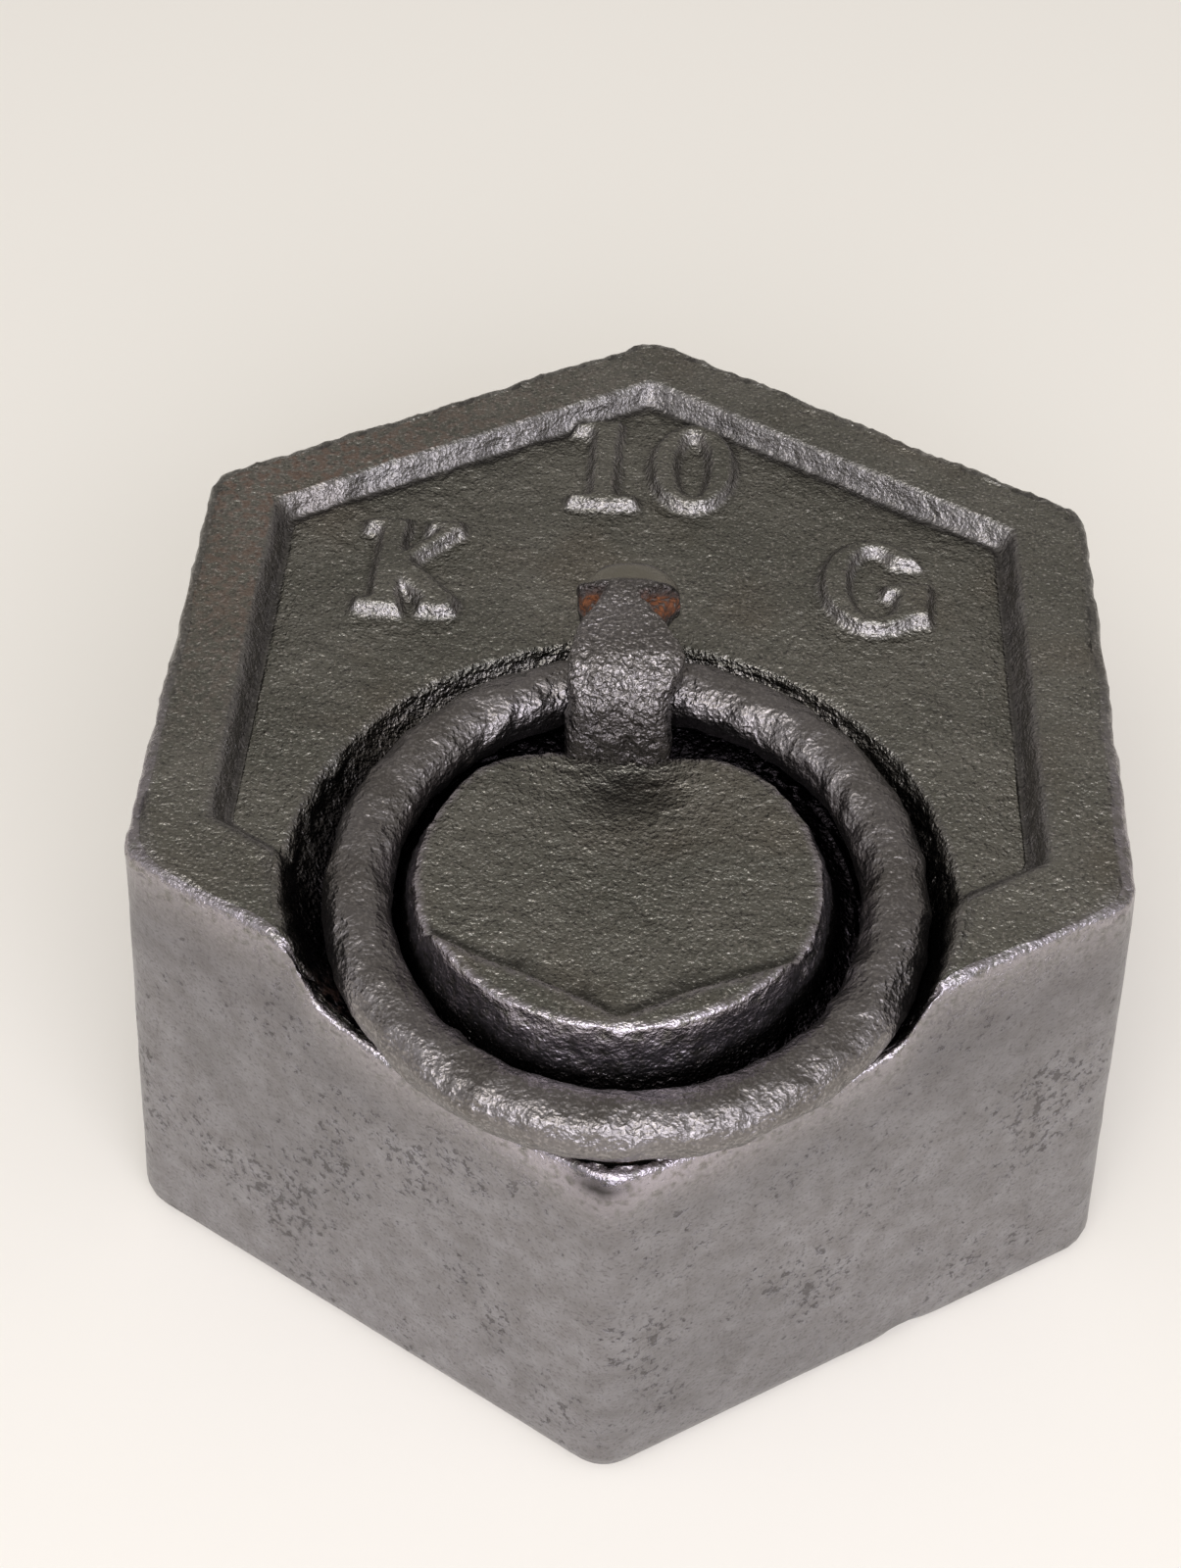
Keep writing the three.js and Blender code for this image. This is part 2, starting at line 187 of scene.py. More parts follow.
def grid_normals(grid, closed=False):
    """Unit normals of a grid: the step round the row crossed with the step to the next row."""
    around_step = np.roll(grid, -1, axis=1) - np.roll(grid, 1, axis=1)
    if closed:
        row_step = np.roll(grid, -1, axis=0) - np.roll(grid, 1, axis=0)
    else:
        row_step = np.gradient(grid, axis=0)
    normal = np.cross(around_step, row_step)
    length = np.linalg.norm(normal, axis=-1, keepdims=True)
    return normal / np.maximum(length, 1e-12)


# %% [markdown]
# The camera stands where the photographer's did, looking down at the weight by 48 degrees. Its
# place, turn and focal length were found by matching the corners of the block with their places
# in the photograph.

# %% Camera
CAMERA_PLACE = (1.838, -229.169, 311.981)
CAMERA_LENS = 51.756
CAMERA_SENSOR = 36
CAMERA_YAW = math.radians(-2.0939)
CAMERA_PITCH = math.radians(48.1831)
CAMERA_ROLL = math.radians(1.1091)

camera_data = bpy.data.cameras.new("photo_camera")
camera_data.lens = CAMERA_LENS
camera_data.sensor_width = CAMERA_SENSOR
camera_data.clip_start = 0.01
camera = bpy.data.objects.new("photo_camera", camera_data)
turn = Matrix.Rotation(-CAMERA_YAW, 4, "Z")
turn @= Matrix.Rotation(math.pi / 2 - CAMERA_PITCH, 4, "X")
turn @= Matrix.Rotation(CAMERA_ROLL, 4, "Z")
camera.matrix_world = Matrix.Translation([part * MM for part in CAMERA_PLACE]) @ turn
bpy.context.scene.collection.objects.link(camera)
bpy.context.scene.camera = camera
print("camera at", CAMERA_PLACE, "lens", CAMERA_LENS)

# %% [markdown]
# A point's place in the block's plan is given by how far it lies from lines and circles. The block
# is six-sided with rounded corners, so its side is a soft maximum over six straight lines. Where
# no formula gives a distance along a ray, a few Newton steps find it for all rays at once.

# %% Six-sided outlines
SIDE_TURN = np.radians(-60 + 60 * np.arange(6))
SIDE_X = np.cos(SIDE_TURN)
SIDE_Y = np.sin(SIDE_TURN)
OUTLINE_GUESS = 60.0
OUTLINE_STEPS = 14
OUTLINE_RANGE = (5, 200)
NUDGE = 0.01
LEAST_SLOPE = 0.2


def past_sides(x, y, reach, blend):
    """How far a point lies past a six-sided outline; below zero is inside.

    It is the greatest distance past the six sides, rounded where two of them are nearly equal.
    """
    past = x[..., None] * SIDE_X + y[..., None] * SIDE_Y - reach
    past = np.sort(past, axis=-1)
    return soft_max(past[..., -1], past[..., -2], blend)


def side_reach(z):
    """Distance from the axis to a flat side at height z: it tapers evenly from base to top."""
    share = np.asarray(z) / HEIGHT
    return (BASE_CORNER + (TOP_CORNER - BASE_CORNER) * share) * COS30 - SKIN


def side_radius(angle, z):
    """Distance from the groove's centre to the block's side, along a ray, at height z.

    Newton steps move each point along its ray until it lies on the outline.
    """
    reach = side_reach(z)[..., None]
    radius = np.full(np.broadcast(angle, z).shape, OUTLINE_GUESS)
    for _ in range(OUTLINE_STEPS):
        x = CENTRE_X + radius * np.cos(angle)
        y = CENTRE_Y + radius * np.sin(angle)
        past = past_sides(x, y, reach, UPRIGHT_BLEND)
        further = past_sides(x + NUDGE * np.cos(angle), y + NUDGE * np.sin(angle), reach, UPRIGHT_BLEND)
        slope = np.maximum((further - past) / NUDGE, LEAST_SLOPE)
        radius = np.clip(radius - past / slope, *OUTLINE_RANGE)
    return radius


print("flat to flat at the base", round(2 * float(side_reach(0)), 1), "mm")

# %% [markdown]
# The founder's pattern had raised figures. Each stroke is a straight bar or an oval band, given
# by its distance from a point, so the height of the relief follows from one number: it climbs
# from the panel over a slope of a millimetre and a half and is soft on top, as sand leaves it.

# %% Figures
FIGURE_RAISE = 2.0
FIGURE_HEIGHT = 20
STROKE = 4.6
THIN_STROKE = 2.8
SERIF = 2.4
FIGURE_WIDTH = 11
NUMBER_ROW_Y = 48
NUMBER_GAP = 3
UNIT_ROW_Y = 22.5
UNIT_HALF_SPACING = 35
UNIT_WIDTH = 16.5
STROKE_BLEND = 1.2
K_FOOT_OVER = 0.4


def bar_distance(x, y, start, end, width):
    """Distance outside a straight bar between two points; below zero is inside."""
    run = np.hypot(end[0] - start[0], end[1] - start[1])
    ux = (end[0] - start[0]) / run
    uy = (end[1] - start[1]) / run
    px = x - (start[0] + end[0]) / 2
    py = y - (start[1] + end[1]) / 2
    along = np.abs(px * ux + py * uy) - run / 2
    aside = np.abs(py * ux - px * uy) - width / 2
    return np.hypot(np.maximum(along, 0), np.maximum(aside, 0)) + np.minimum(np.maximum(along, aside), 0)


def oval_distance(x, y, half_x, half_y):
    """Nearly the distance outside an ellipse: its implicit value over the value's slope."""
    value = np.hypot(x / half_x, y / half_y)
    slope = np.hypot(x / half_x**2, y / half_y**2)
    return value * (value - 1) / np.maximum(slope, 1e-6)


def band_distance(x, y, width):
    """Distance outside an oval band, thick at its sides and thin at head and foot."""
    outer = oval_distance(x, y, width / 2, FIGURE_HEIGHT / 2)
    inner = oval_distance(x, y, width / 2 - STROKE, FIGURE_HEIGHT / 2 - THIN_STROKE)
    return np.maximum(outer, -inner)


def stem_distance(x, y, left, foot_right):
    """Distance outside an upright stem with a bar at its foot and a flag at its head.

    left is how far both reach left of the stem's middle, foot_right how far the foot reaches right.
    """
    half = FIGURE_HEIGHT / 2
    serif = half - SERIF / 2
    stem = bar_distance(x, y, (0, -half), (0, half), STROKE)
    for level, right in ((-serif, foot_right), (serif, STROKE / 2)):
        serif_bar = bar_distance(x, y, (-left, level), (right, level), SERIF)
        stem = soft_min(stem, serif_bar, STROKE_BLEND)
    return stem


def letter_k_distance(x, y):
    """Stem on the left, thin arm up, thick leg down, each with a short foot."""
    half = FIGURE_HEIGHT / 2
    stem_x = -UNIT_WIDTH / 2 + STROKE
    arm_x = UNIT_WIDTH / 2 - STROKE / 2
    inset = SERIF / 2
    shape = stem_distance(x - stem_x, y, STROKE, STROKE / 2 + K_FOOT_OVER)
    arm = bar_distance(x, y, (stem_x, -inset), (arm_x, half - inset), THIN_STROKE)
    leg = bar_distance(x, y, (stem_x, inset), (arm_x, -half + inset), STROKE)
    for sign in (-1, 1):
        level = sign * (half - inset)
        foot = bar_distance(x, y, (arm_x - STROKE, level), (arm_x + inset, level), SERIF)
        shape = soft_min(shape, foot, STROKE_BLEND)
    return soft_min(soft_min(shape, arm, STROKE_BLEND), leg, STROKE_BLEND)


def letter_g_distance(x, y):
    """An oval band, open on the upper right, with an upright beard under the opening."""
    right = UNIT_WIDTH / 2
    mouth = bar_distance(x, y, (SERIF, STROKE / 2), (right + 1, STROKE / 2), STROKE)
    shape = np.maximum(band_distance(x, y, UNIT_WIDTH), -mouth)
    beard_x = right - STROKE / 2
    beard = bar_distance(x, y, (beard_x, -FIGURE_HEIGHT / 2 + SERIF), (beard_x, 0), STROKE)
    cap = bar_distance(x, y, (SERIF / 2, -SERIF / 2), (right, -SERIF / 2), SERIF)
    return soft_min(soft_min(shape, beard, STROKE_BLEND), cap, STROKE_BLEND)


def figure_distance(x, y):
    """Distance outside the nearest figure of the panel."""
    number_x = (FIGURE_WIDTH + NUMBER_GAP) / 2
    one = stem_distance(x + number_x, y - NUMBER_ROW_Y, FIGURE_WIDTH / 2, FIGURE_WIDTH / 2)
    nought = band_distance(x - number_x, y - NUMBER_ROW_Y, FIGURE_WIDTH + THIN_STROKE)
    left = letter_k_distance(x + UNIT_HALF_SPACING, y - UNIT_ROW_Y)
    right = letter_g_distance(x - UNIT_HALF_SPACING, y - UNIT_ROW_Y)
    return np.minimum(np.minimum(one, nought), np.minimum(left, right))


print("figures", FIGURE_HEIGHT, "mm high, strokes", STROKE, "mm")

# %% [markdown]
# The top of the block, before the groove is cut, is a flat rim round a sunk panel. The panel's six
# walls slope and are not quite alike. The height is a formula of the place in plan, so every later
# grid point can ask for it.

# %% Rim and panel
PANEL_DEPTH = 3.5
PANEL_REACH = np.array([56.6, 56.4, 57.3, 57.6, 57.0, 55.8])
PANEL_BLEND = 1.0
PANEL_WALL_RUN = 1.7
RAMP_SHIFTS = (-0.3, 0, 0.3)


def ramp(value, run):
    """0 to 1 over a straight slope of the given run, its two ends softened by averaging three ramps."""
    steps = [np.clip((value + shift) / run, 0, 1) for shift in RAMP_SHIFTS]
    return sum(steps) / len(steps)


def panel_inside(x, y):
    """How far a point lies inside the panel's upper edge; below zero is on the rim."""
    return -past_sides(x, y, PANEL_REACH, PANEL_BLEND)


print("panel walls", PANEL_REACH, "mm from the middle")

# %% [markdown]
# The boss is what the groove leaves standing inside the ring: a disc, cut off straight behind the
# staple. On its front the pattern's panel wall goes on as a shallow V, bowed at both ends, and the
# fitting of the staple left a shallow hollow in front of it.

# %% Boss
BOSS_RADIUS = RING_RADIUS - BAR - 4.0
BOSS_SHIFT = 0.5
BOSS_FLAT_Y = -13.7
BOSS_BLEND = 3
STEP_RUN = 1.2
STEP_REACH = 53.4
STEP_BLEND = 1.2
STEP_BOW = 2.2
STEP_BOW_FROM = 4
STEP_BOW_TO = 26
HOLLOW_PLACE = np.array([0.3, -20.5])
HOLLOW_HALF = np.array([8.5, 5.5])
HOLLOW_FLAT = 0.4
HOLLOW_DEPTH = 0.5


def boss_gap(x, y):
    """How far a point lies past the boss's edge: a circle, cut off straight behind the staple."""
    circle = np.hypot(x - CENTRE_X, y - CENTRE_Y - BOSS_SHIFT) - BOSS_RADIUS
    straight = y - BOSS_FLAT_Y
    return soft_max(circle, straight, BOSS_BLEND)


def in_hollow(x, y):
    """1 in the middle of the staple's hollow, 0 outside its oval outline."""
    from_middle = np.hypot((x - HOLLOW_PLACE[0]) / HOLLOW_HALF[0], (y - HOLLOW_PLACE[1]) / HOLLOW_HALF[1])
    return smooth_step(1, HOLLOW_FLAT, from_middle)


def boss_step(x, y):
    """How far a point of the boss lies inside the V."""
    bow = STEP_BOW * smooth_step(STEP_BOW_FROM, STEP_BOW_TO, np.abs(x))
    return bow - past_sides(x, y, STEP_REACH, STEP_BLEND)


print("boss radius", round(BOSS_RADIUS, 2), "mm")

# %% [markdown]
# Panel, boss and figures add up to one height. Old dirt and painted shade sit at the foot of each
# slope; their place comes from the same distances, so a later mark tells the material where they lie.

# %% Height of the top and its dirt and painted shade
BOSS_FADE_OUT = 6
BOSS_FADE_IN = -2
RELIEF_FOOT = 0.7
RELIEF_HEAD = -0.9
RELIEF_CLEAR = 3
WALL_DIRT_SHADE_AT = 0.3
WALL_DIRT_SHADE_WEAK = 0.2
STEP_DIRT_SHADE_AT = 2.4
STEP_DIRT_SHADE_WIDTH = 1.1
FIGURE_DIRT_SHADE_AT = 0.8
FIGURE_DIRT_SHADE_WIDTH = 0.8
FIGURE_DIRT_SHADE_WEAK = 0.55


def top_height(x, y):
    """Height of the top without its groove: rim, sloped wall, panel, boss with its V, figures."""
    inside = panel_inside(x, y)
    panel = PANEL_DEPTH * ramp(inside, PANEL_WALL_RUN)
    step = PANEL_DEPTH * ramp(boss_step(x, y), STEP_RUN)
    on_boss = smooth_step(BOSS_FADE_OUT, BOSS_FADE_IN, boss_gap(x, y))
    sunk = panel * (1 - on_boss) + step * on_boss
    relief = FIGURE_RAISE * smooth_step(RELIEF_FOOT, RELIEF_HEAD, figure_distance(x, y))
    relief = relief * smooth_step(0, RELIEF_CLEAR, inside)
    return HEIGHT - sunk + relief - HOLLOW_DEPTH * in_hollow(x, y)


def dirt_and_shade(x, y):
    """1 where dirt and painted shade sit: at the foot of the panel's walls, of the V and of the figures.

    Each line fades evenly to both sides. A weak one is fainter from the start.
    """
    wall_foot = WALL_DIRT_SHADE_WEAK + np.abs(panel_inside(x, y) - PANEL_WALL_RUN - WALL_DIRT_SHADE_AT)
    # The V's dark line is painted shade: it lies where the raised strip in front stops hiding the panel.
    step_foot = np.abs(boss_step(x, y) - STEP_DIRT_SHADE_AT) / STEP_DIRT_SHADE_WIDTH
    figure_foot = np.abs(figure_distance(x, y) - FIGURE_DIRT_SHADE_AT) / FIGURE_DIRT_SHADE_WIDTH
    figure_foot = FIGURE_DIRT_SHADE_WEAK + figure_foot
    near = np.minimum(np.where(boss_gap(x, y) > 0, wall_foot, step_foot), figure_foot)
    return np.clip(1 - near, 0, 1)


print("rim at", HEIGHT, "mm, panel at", HEIGHT - PANEL_DEPTH, "mm")

# %% [markdown]
# The groove is a turned trough. It is told by two distances: from the boss's wall outwards, and
# from the outer wall inwards. Its section has rounded lips, steep walls and round bottom corners,
# and its floor follows the ring, which lies a little lower at the front.

# %% Groove
BOSS_LIP = 0.7
BOSS_RUN = 1.3
BOSS_BOTTOM = 4.0
GROOVE_RADIUS = RING_RADIUS + BAR + 3.8
OUTER_LIP = 1.3
OUTER_RUN = 1.0
OUTER_BOTTOM = 11.0
FLOOR_UNDER_RING = BAR + 0.3
MOST_LIP_SHARE = 0.3
MOST_FOOT_SHARE = 0.5


def wall_height(d, top, floor, lip, run, bottom):
    """Height of one wall of the groove at the distance d past its upper line.

    From -lip to 0 it is a quarter round, from 0 to run it drops evenly, and then a quarter round
    of radius bottom meets the floor. Where the wall is low, both rounds take a share of it.
    """
    lip_drop = np.minimum(lip, MOST_LIP_SHARE * (top - floor))
    rise = np.minimum(bottom, MOST_FOOT_SHARE * (top - floor))
    on_lip = np.clip(d / lip + 1, 0, 1)
    share = np.clip(d / run, 0, 1)
    into = np.clip((d - run) / bottom, 0, 1)
    rounded = top - lip_drop * (1 - np.sqrt(1 - on_lip**2))
    wall = (top - lip_drop) * (1 - share) + (floor + rise) * share
    foot = floor + rise * (1 - np.sqrt(1 - (1 - into) ** 2))
    return np.where(d < 0, rounded, np.where(d < run, wall, foot))


def groove_height(x, y, top):
    """Height of the groove's skin: of its two walls, the one that is nearer gives the height."""
    floor = RING_BACK_Z + (y - RING_BACK_Y) * math.tan(TILT) - FLOOR_UNDER_RING
    gap = boss_gap(x, y)
    outer = GROOVE_RADIUS - np.hypot(x - CENTRE_X, y - CENTRE_Y)
    at_boss = wall_height(gap, top, floor, BOSS_LIP, BOSS_RUN, BOSS_BOTTOM)
    at_outer = wall_height(outer, top, floor, OUTER_LIP, OUTER_RUN, OUTER_BOTTOM)
    return np.where(gap < outer, at_boss, at_outer)


def surface_height(radius, angle):
    """Height of the finished top at a distance from the groove's centre along a ray."""
    x = CENTRE_X + radius * np.cos(angle)
    y = CENTRE_Y + radius * np.sin(angle)
    return groove_height(x, y, top_height(x, y))


print("groove radius", round(GROOVE_RADIUS, 2), "mm")

# %% [markdown]
# The block is one closed skin. Its rays start from the groove's centre, so the groove's walls lie
# along the grid. They stand closer together where the figures are and where the groove breaks
# out through the two front sides.

# %% Rays
RAYS = 510
FAN = np.linspace(-math.pi, math.pi, 4001)
FIGURE_CROWD = 2.1
FIGURE_HALF_FAN = 0.82
FIGURE_FAN_POWER = 10
BREAKOUTS = (-24, -156)
BREAKOUT_CROWD = 4
BREAKOUT_HALF_FAN = 0.06


def ray_density(angle):
    """How close the rays stand: 1 plain, more behind for the figures, most at the two breakouts."""
    behind = FIGURE_CROWD * np.exp(-((angle - math.pi / 2) / FIGURE_HALF_FAN) ** FIGURE_FAN_POWER)
    density = 1 + behind
    for breakout in BREAKOUTS:
        off = (angle - math.radians(breakout)) / BREAKOUT_HALF_FAN
        density = density + BREAKOUT_CROWD * np.exp(-off ** 2)
    return density


spread = np.cumsum(ray_density(FAN))
spread = (spread - spread[0]) / (spread[-1] - spread[0])
RAY = np.interp(np.arange(RAYS) / RAYS, spread, FAN)
print("rays", RAYS, "closest", round(math.degrees(np.diff(RAY).min()), 3), "degrees")

# %% [markdown]
# Along each ray the grid has its points where the section needs them: a few on flat places and
# many on lips, walls and the relief. Where the block ends before the groove does, at the front,
# the points that are left over are drawn together just inside the edge.

# %% Points along the rays
MEASURE_STEPS = 10
MEASURE_RANGE = (1, 130)
BOSS_GUESS = 26.0
PANEL_FOOT_PAST = 0.8
PANEL_HEAD_SHORT = -0.7


def solve_radius(measure, target, start):
    """Radius on each ray where a measured distance has a target value, by Newton steps."""
    radius = start
    for _ in range(MEASURE_STEPS):
        x = CENTRE_X + radius * np.cos(RAY)
        y = CENTRE_Y + radius * np.sin(RAY)
        value = measure(x, y)
        slope = (measure(x + NUDGE * np.cos(RAY), y + NUDGE * np.sin(RAY)) - value) / NUDGE
        slope = np.where(np.abs(slope) < LEAST_SLOPE, np.sign(slope + 1e-9) * LEAST_SLOPE, slope)
        radius = np.clip(radius - (value - target) / slope, *MEASURE_RANGE)
    return radius


def between(start, end, count):
    """count rows of radii that run evenly from start to end, without the end itself."""
    share = np.arange(count)[:, None] / count
    return start[None, :] + (end - start)[None, :] * share


def ray_points(radius, z):
    """Points on all rays at the given distances from the groove's centre and heights."""
    x = CENTRE_X + radius * np.cos(RAY)
    return np.stack([x, CENTRE_Y + radius * np.sin(RAY), z + 0 * radius], axis=-1)


ONE = np.ones(RAYS)
boss_edge = solve_radius(boss_gap, 0.0, BOSS_GUESS * ONE)
boss_foot = solve_radius(boss_gap, BOSS_RUN, boss_edge)
boss_floor = solve_radius(boss_gap, BOSS_RUN + BOSS_BOTTOM, boss_edge)
panel_foot = solve_radius(panel_inside, PANEL_WALL_RUN + PANEL_FOOT_PAST, OUTLINE_GUESS * ONE)
panel_head = solve_radius(panel_inside, PANEL_HEAD_SHORT, OUTLINE_GUESS * ONE)
print("boss edge", round(boss_edge.min(), 1), "to", round(boss_edge.max(), 1), "mm from the groove's centre")

# %% [markdown]
# The outer edge lies where the sloping side meets the top, and the top changes height all round.
# Halving finds it: the side is followed up or down until the top there is as high as the side.

# %% Outer edge
LOWEST_EDGE = 55.0
HALVINGS = 40

low = np.full(RAYS, LOWEST_EDGE)
high = np.full(RAYS, HEIGHT + 1.0)
for _ in range(HALVINGS):
    middle = (low + high) / 2
    above = surface_height(side_radius(RAY, middle), RAY) > middle
    low = np.where(above, middle, low)
    high = np.where(above, high, middle)
edge_z = (low + high) / 2
edge_radius = side_radius(RAY, edge_z)
print("lowest lip", round(edge_z.min(), 1), "mm, rim", round(edge_z.max(), 1), "mm")

# %% [markdown]
# Foundry edges are rounded and every handling rounds them a little more, so the outer edge is a
# curve drawn from the top over the corner to the side, larger on the rim than on the thin lip.

# %% Size of the edge rounding
EDGE_ROUND = 2.0
RIM_STARTS = (1, 6)
LIP_BELOW = 6
LIP_IN = 1.5
LIP_DOWN = 2.0
VERTEX_IN = 0.6
VERTEX_DOWN = 2.4
VERTEX_HALF = 13
WANDER = 0.12
WANDER_SIZE = 14

edge_points = np.stack([edge_radius * np.cos(RAY), edge_radius * np.sin(RAY), edge_z], -1)
wander = 1 + WANDER * ripple(edge_points, WANDER_SIZE, 5)
rim_share = smooth_step(*RIM_STARTS, edge_radius - GROOVE_RADIUS)
rim_share = rim_share * smooth_step(HEIGHT - LIP_BELOW, HEIGHT, edge_z)
vertex = np.exp(-((edge_radius * np.cos(RAY) / VERTEX_HALF) ** 2)) * (RAY < 0)
lip_down = LIP_DOWN + VERTEX_DOWN * vertex
lip_in = LIP_IN + VERTEX_IN * vertex
edge_round = (lip_in + (EDGE_ROUND - lip_in) * rim_share) * wander
edge_down = (lip_down + (EDGE_ROUND - lip_down) * rim_share) * wander
print("edge rounding", round(edge_down.min(), 1), "to", round(edge_down.max(), 1), "mm down the side")

# %% [markdown]
# Each stretch of the section gets its own number of rows. Where a stretch has no length on a ray,
# its rows lie on each other but for a hair's breadth, so the grid keeps its shape everywhere.

# %% Rows of the top
SQUEEZE = 0.006
HAIR = 0.02
BOSS_CORE = 20.0
BOSS_CORE_SHORT = 6

groove_lip = GROOVE_RADIUS + OUTER_LIP
outer_foot = GROOVE_RADIUS - OUTER_RUN
outer_floor = outer_foot - OUTER_BOTTOM
boss_inner = np.minimum(BOSS_CORE, boss_edge - BOSS_CORE_SHORT)
boss_end = boss_edge - BOSS_LIP
panel_end = np.maximum(panel_foot, groove_lip + HAIR)
rise_end = np.maximum(panel_head, groove_lip + 2 * HAIR)
rim_end = np.maximum(edge_radius, groove_lip + 4 * HAIR)
segments = [
    ("boss", between(HAIR * ONE, boss_inner, 7)),
    ("boss", between(boss_inner, boss_end, 14)),
    ("lip", between(boss_end, boss_edge, 4)),
    ("wall", between(boss_edge, boss_foot, 7)),
    ("floor", between(boss_foot, boss_floor, 5)),
    ("floor", between(boss_floor, outer_floor * ONE, 2)),
    ("floor", between(outer_floor * ONE, outer_foot * ONE, 6)),
    ("outer_wall", between(outer_foot * ONE, GROOVE_RADIUS * ONE, 7)),
    ("outer_lip", between(GROOVE_RADIUS * ONE, groove_lip * ONE, 4)),
    ("panel", between(groove_lip * ONE, panel_end, 86)),
    ("rise", between(panel_end, rise_end, 7)),
    ("rim", between(rise_end, rim_end, 8)),
]
kinds = [kind for kind, rows in segments for _ in range(len(rows))]
radii = np.concatenate([rows for _, rows in segments])
left_over = np.arange(len(radii), 0, -1)[:, None] * SQUEEZE
limit = (edge_radius - edge_round)[None, :]
radii = np.minimum(radii, limit - left_over)
radii = np.maximum.accumulate(radii, axis=0)
top_rows = ray_points(radii, surface_height(radii, RAY))
print(len(radii), "rows on the top")

# %% [markdown]
# The edge itself is a curve with three guiding points: the last of the top, the sharp corner, and
# the first of the side. It leaves the first one, bends towards the corner and ends in the third.

# %% Rows of the edge
EDGE_ROWS = 6

before = ray_points(edge_radius - edge_round, surface_height(edge_radius - edge_round, RAY))
corner = ray_points(edge_radius, edge_z)
after_z = edge_z - edge_down
after = ray_points(side_radius(RAY, after_z), after_z)
t = np.linspace(0, 1, EDGE_ROWS)[:, None, None]
edge_rows = (1 - t) ** 2 * before + 2 * t * (1 - t) * corner + t**2 * after
kinds += ["edge"] * len(edge_rows)
print(len(edge_rows), "rows round the edge")

# %% [markdown]
# Below the edge the skin runs down the six tapering sides, turns in round the base edge, crosses
# the flat base to the pocket that holds the lead, and closes at the pocket's roof.

# %% Sides, base and pocket
SIDE_ROWS = 15
BASE_ROUND = 4.0
POCKET_MOUTH = 22.0
POCKET_ROOF = 24.5
POCKET_HEIGHT = 28.0
POCKET_EDGE = [(0.6, 0.0), (0.15, 0.2), (0.0, 0.7)]

side_z = after_z + (BASE_ROUND - after_z) * (np.arange(1, SIDE_ROWS + 1)[:, None] / SIDE_ROWS)
side_rows = np.stack([ray_points(side_radius(RAY, z), z) for z in side_z])
turn_under = np.radians([22.5, 45, 67.5, 90])
base_rows = []
for angle in turn_under:
    z = BASE_ROUND * (1 - math.sin(angle)) * ONE
    inset = BASE_ROUND * (1 - math.cos(angle)) / COS30
    base_rows.append(ray_points(side_radius(RAY, z) - inset, z))
foot = base_rows[-1]
foot_angle = np.arctan2(foot[:, 1], foot[:, 0])


def pocket_row(radius, z):
    """A round row of the pocket, each point at the same turn about the axis as the base edge's."""
    return np.stack([radius * np.cos(foot_angle), radius * np.sin(foot_angle), z * ONE], axis=-1)


mouth, *pocket_edge = [pocket_row(POCKET_MOUTH + out, z) for out, z in POCKET_EDGE]
base_rows += [foot + (mouth - foot) * share for share in (0.5, 1.0)]
base_rows += pocket_edge
wall_low = POCKET_EDGE[-1][1]
for share in (0.5, 1.0):
    radius = POCKET_MOUTH + (POCKET_ROOF - POCKET_MOUTH) * share
    base_rows.append(pocket_row(radius, wall_low + (POCKET_HEIGHT - wall_low) * share))
base_rows += [pocket_row(POCKET_ROOF * share, POCKET_HEIGHT) for share in (0.5, 0.0)]
base_rows = np.stack(base_rows)
kinds += ["side"] * len(side_rows) + ["base"] * len(base_rows)
block_grid = np.concatenate([top_rows, edge_rows, side_rows, base_rows])
block_grid[0] = block_grid[0].mean(axis=0)
print("block grid", block_grid.shape)

# %% [markdown]
# The unevenness is added last, along the normals. Flat places get a gentle sway and fine casting
# lumps, walls and lips get more, and the base and pocket stay true so that the weight stands flat.
# At the foot of the right front side a small fin of metal stands out, which ran into the joint
# between the halves of the mould.

# %% Casting unevenness
kinds = np.array(kinds)
SWAY = {"boss": 0.13, "lip": 0.14, "wall": 0.22, "floor": 0.20, "outer_wall": 0.34, "outer_lip": 0.24,
        "panel": 0.15, "rise": 0.22, "rim": 0.10, "edge": 0.10, "side": 0.06, "base": 0.0}
GRAIN = {"boss": 0.03, "lip": 0.05, "wall": 0.10, "floor": 0.08, "outer_wall": 0.14, "outer_lip": 0.08,
         "panel": 0.03, "rise": 0.06, "rim": 0.03, "edge": 0.09, "side": 0.02, "base": 0.0}
SWAY_SIZE = 11
SWAY_SHARE = 0.6
LUMP_SIZE = 2.6
GRAIN_SIZE = 1.4
GRAIN_SHARE = 0.7
FAR_CALM = 0.7
FAR_RUN = (-20, 0)
DEEPEST = 0.6
FIN_PLACE = np.array([45.6, -60.9, 0.8])
FIN_SIZE = np.array([3.4, 2.4, 1.5])
FIN_OUT = 2.5


def row_values(table):
    """One number per row from a table by kind of row, smoothed a little from row to row."""
    values = np.array([table.get(kind, 0.0) for kind in kinds])
    padded = np.pad(values, 1, mode="edge")
    return ((padded[:-2] + 2 * padded[1:-1] + padded[2:]) / 4)[:, None]


def on_rows(*names):
    """1 on the rows of the named kinds, 0 on all others."""
    return np.isin(kinds, names)[:, None]


def spot(grid, middle, size):
    """A soft spot in space: the bell curve of the distance from its middle, measured in its sizes."""
    return np.exp(-np.sum(((grid - middle) / size) ** 2, axis=-1))


